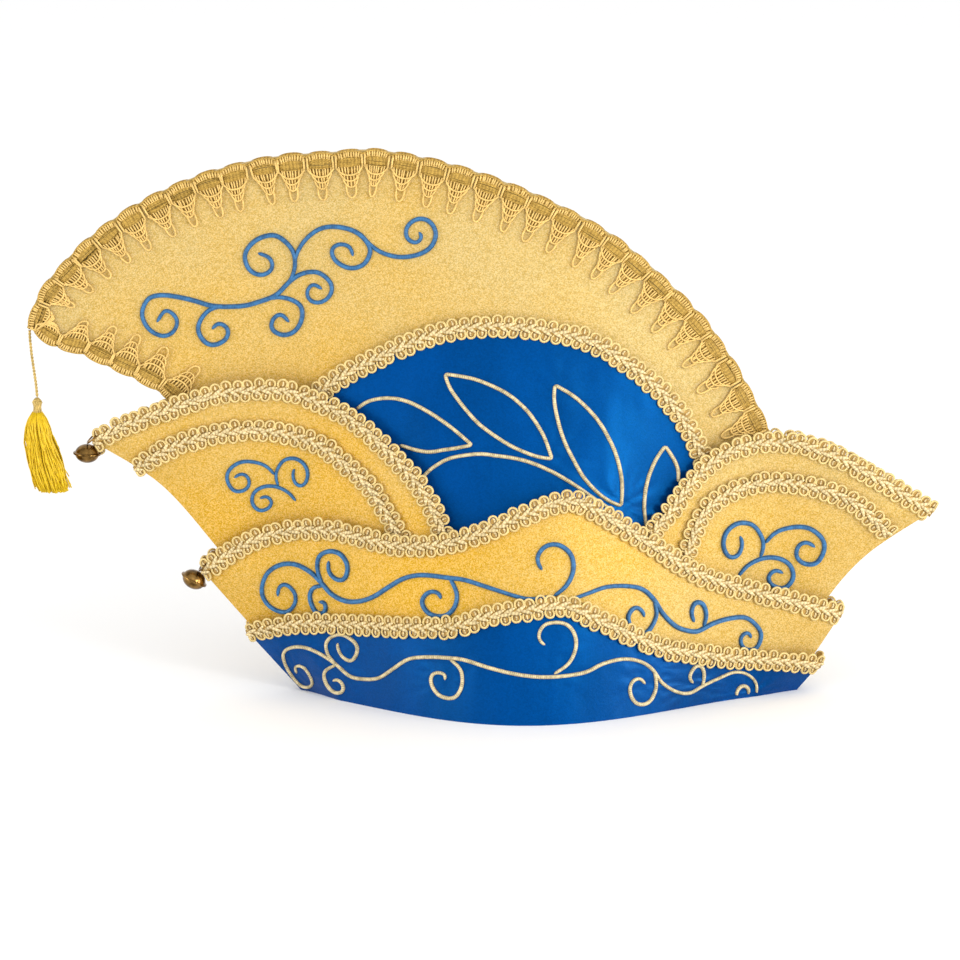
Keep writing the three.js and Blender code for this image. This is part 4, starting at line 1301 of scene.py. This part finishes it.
class CAP_OT_cloth(bpy.types.Operator):
    """Make the gold and the blue layers of cloth"""

    bl_idname = "cap.cloth"
    bl_label = "Cloth layers"

    def execute(self, context):
        colours = context.scene.cap_colours
        gold = gold_lame(colours.foil, colours.pale_foil)
        satin = blue_satin(colours.satin, colours.satin_shine)
        # Layer, finish, slot, grid and the four edges of each panel: foot, top, front and rear
        panels = {
            "crown": (
                "crown", gold, "gold_cloth", (120, 44),
                (straight(CROWN_FRONT_SEAM[0], CROWN_REAR_SEAM[0]), CREST_LINE, CROWN_FRONT,
                 spline(CROWN_REAR_SEAM)),
            ),
            "side_panel": (
                "side", satin, "blue_satin", (140, 84),
                (straight(SIDE_FOOT_FRONT, SIDE_FOOT_REAR), spline(SIDE_EDGE),
                 straight(SIDE_FOOT_FRONT, SIDE_EDGE[0]), straight(SIDE_FOOT_REAR, SIDE_EDGE[-1])),
            ),
            "front_flap": (
                "front_flap", gold, "gold_cloth", (80, 36),
                (straight(FRONT_FLAP_SEAM[0], FRONT_FLAP_FOOT), spline(FRONT_FLAP_EDGE),
                 spline(FRONT_FLAP_SEAM), straight(FRONT_FLAP_FOOT, FRONT_FLAP_EDGE[-1])),
            ),
            "rear_flap": (
                "rear_flap", gold, "gold_cloth", (80, 36),
                (straight(REAR_FLAP_FOOT, REAR_FLAP_SEAM[0]), spline(REAR_FLAP_EDGE),
                 straight(REAR_FLAP_FOOT, REAR_FLAP_EDGE[0]), spline(REAR_FLAP_SEAM)),
            ),
            "brim": (
                "brim", gold, "gold_cloth", (120, 26),
                (straight(BRIM_FRONT_SEAM[0], BRIM_REAR_SEAM[0]), spline(BRIM_EDGE),
                 spline(BRIM_FRONT_SEAM), spline(BRIM_REAR_SEAM)),
            ),
            "band": (
                "band", satin, "blue_satin", (180, 28),
                (straight(BAND_FRONT_SEAM[0], BAND_REAR_SEAM[0]), spline(BAND_EDGE),
                 spline(BAND_FRONT_SEAM), spline(BAND_REAR_SEAM)),
            ),
        }
        creased = {"side_panel": WHOLE_LEAVES, "band": BAND_STROKES}
        for name, (layer_name, material, slot, steps, edges) in panels.items():
            mesh = cloth_mesh(f"{name}_cloth", layer_name, edges, steps, creased.get(name))
            show_pair(mesh, f"{name}_cloth", [material], name, slot)
        return {"FINISHED"}


class CAP_OT_braid(bpy.types.Operator):
    """Sew gimp braid along the edges of the layers"""

    bl_idname = "cap.braid"
    bl_label = "Gimp braid"

    def execute(self, context):
        colours = context.scene.cap_colours
        materials = [
            thread("Gold gimp", colours.gimp, depth=0.6, pitch=0.4),
            thread("Flat gold plait", colours.plait, depth=0.4, pitch=0.9, metallic=0.2),
            thread("Braid ground", colours.ground_and_shade, depth=0.6, pitch=0.5),
        ]
        sizes = context.scene.cap_sizes
        random = np.random.default_rng(SEED)
        front_edge, rear_edge = spline(FRONT_FLAP_EDGE), spline(REAR_FLAP_EDGE)
        front_stop = share_at_x(front_edge, FRONT_BRAID_END_X) + BRAID_RUN_ON
        rear_start = share_at_x(rear_edge, REAR_BRAID_START_X) - BRAID_RUN_ON
        # Layer, line, gap to the cloth and drop of the right one
        braids = {
            "side_braid": ("side", spline(SIDE_EDGE), 0.4, 0),
            "front_edge_braid": ("front_flap", stretch(front_edge, 0, front_stop), 0.65, FAR_BRAID_DROP),
            "front_inner_braid": ("front_flap", spline(FRONT_INNER_LINE), 0.8, 0),
            "rear_edge_braid": ("rear_flap", stretch(rear_edge, rear_start, 1), 0.7, FAR_BRAID_DROP),
            "rear_inner_braid": ("rear_flap", spline(REAR_INNER_LINE), 1, 0),
            "brim_braid": ("brim", spline(BRIM_EDGE), 0.7, 0),
            "band_braid": ("band", spline(BAND_EDGE), 0.8, 0),
        }
        for name, (layer_name, line, gap, drop) in braids.items():
            mesh = braid_mesh(f"{name}_gimp", layer_name, line, gap, sizes, random)
            show_pair(mesh, f"{name}_gimp", materials, name, "gold_braid", drop)
        return {"FINISHED"}


class CAP_OT_lace(bpy.types.Operator):
    """Sew lace along the crest and under its front"""

    bl_idname = "cap.lace"
    bl_label = "Lace"

    def execute(self, context):
        colours = context.scene.cap_colours
        materials = [
            thread("Gold lace yarn", colours.lace, depth=0.6, pitch=0.4),
            thread("Lace weave", colours.weave, depth=0.55, pitch=0.9, slant=0),
        ]
        random = np.random.default_rng(SEED)
        crest = stretch(CREST_LINE, 0, LACE_END)
        tip = stretch(CROWN_FRONT, TIP_LACE_START, share_at_x(CROWN_FRONT, TIP_LACE_END_X))
        for name, line, points_up, bulge in (
            ("crest_lace", crest, False, None),
            ("tip_lace", tip, True, TIP_LACE_BULGE),
        ):
            mesh = lace_mesh(f"{name}_yarn", line, points_up, bulge, random)
            show_pair(mesh, f"{name}_yarn", materials, name, "gold_lace")
        return {"FINISHED"}


class CAP_OT_embroidery(bpy.types.Operator):
    """Embroider the layers with scrolls and leaves in raised satin stitch"""

    bl_idname = "cap.embroidery"
    bl_label = "Embroidery"

    def execute(self, context):
        colours, sizes = context.scene.cap_colours, context.scene.cap_sizes
        # The blue thread is painted darker along its sides, as painted shade
        blue = thread(
            "Blue embroidery thread",
            colours.blue_thread,
            depth=0.55,
            pitch=0.6,
            relief=0.12,
            metallic=0,
            sheen=0.5,
            flank_shade=0.5,
        )
        gold = thread("Gold embroidery thread", colours.gold_thread, depth=0.35, pitch=0.5, relief=0.25)
        wide, fine = sizes.blue_stitch / MM, sizes.gold_stitch / MM
        small = FRONT_MOTIF["scale"] * wide
        for name, layer_name, strokes, material, width, taper in (
            ("crest_scrolls", "crown", CREST_STROKES, blue, wide, SCROLL_TAPER),
            ("side_leaves", "side", LEAF_STROKES, gold, fine, LEAF_TAPER),
            ("brim_scrolls", "brim", BRIM_STROKES, blue, wide, SCROLL_TAPER),
            ("band_scrolls", "band", BAND_STROKES, gold, fine, SCROLL_TAPER),
            ("rear_flap_scrolls", "rear_flap", REAR_STROKES, blue, wide, SCROLL_TAPER),
            ("front_flap_scrolls", "front_flap", FRONT_STROKES, blue, small, SCROLL_TAPER),
        ):
            show_pair(stitched_mesh(name, layer_name, strokes, width, taper), name, [material])
        return {"FINISHED"}


class CAP_OT_bells(bpy.types.Operator):
    """Hang the two jingle bells on their wire links"""

    bl_idname = "cap.bells"
    bl_label = "Jingle bells"

    def execute(self, context):
        brass = aged_brass(context.scene.cap_colours.brass)
        for name, hanger in HANGERS.items():
            hung = moved(*hanger["hole"]) @ turned_y(hanger["link_lean"])
            link = wire_mesh(f"{name}_link", oval(LINK_HALF, LINK_DROP), LINK_WIRE, hung)
            show(link, f"{name}_link", [brass], f"{name}_ring", slot="bell_brass")
            swung = turned_y(hanger["bell_lean"] - hanger["link_lean"])
            place = hung @ moved(0, -(LINK_DROP + LINK_HALF[1])) @ swung
            bell = bell_mesh(f"{name}_jingle", place)
            show(bell, f"{name}_jingle", [brass], f"{name}_bell", slot="bell_brass")
        return {"FINISHED"}


class CAP_PT_pieces(bpy.types.Panel):
    """List the cap's pieces, sizes and colours in the sidebar"""

    bl_label = "Carnival cap"
    bl_idname = "CAP_PT_pieces"
    bl_space_type = "VIEW_3D"
    bl_region_type = "UI"
    bl_category = "Cap"

    def draw(self, context):
        for operator in OPERATORS:
            self.layout.operator(operator.bl_idname)
        for group in (context.scene.cap_sizes, context.scene.cap_colours):
            for name in type(group).__annotations__:
                self.layout.prop(group, name)


OPERATORS = [
    CAP_OT_stage,
    CAP_OT_tassel,
    CAP_OT_cloth,
    CAP_OT_braid,
    CAP_OT_lace,
    CAP_OT_embroidery,
    CAP_OT_bells,
]
CLASSES = [CapSizes, CapColours, *OPERATORS, CAP_PT_pieces]


def register():
    for cls in CLASSES:
        bpy.utils.register_class(cls)
    bpy.types.Scene.cap_sizes = bpy.props.PointerProperty(type=CapSizes)
    bpy.types.Scene.cap_colours = bpy.props.PointerProperty(type=CapColours)


def unregister():
    del bpy.types.Scene.cap_colours
    del bpy.types.Scene.cap_sizes
    for cls in reversed(CLASSES):
        bpy.utils.unregister_class(cls)


def main():
    """Makes the cap on its stage."""
    register()
    bpy.ops.cap.stage()
    bpy.ops.cap.tassel()
    bpy.ops.cap.cloth()
    bpy.ops.cap.braid()
    bpy.ops.cap.lace()
    bpy.ops.cap.embroidery()
    bpy.ops.cap.bells()


if __name__ == "__main__":
    main()
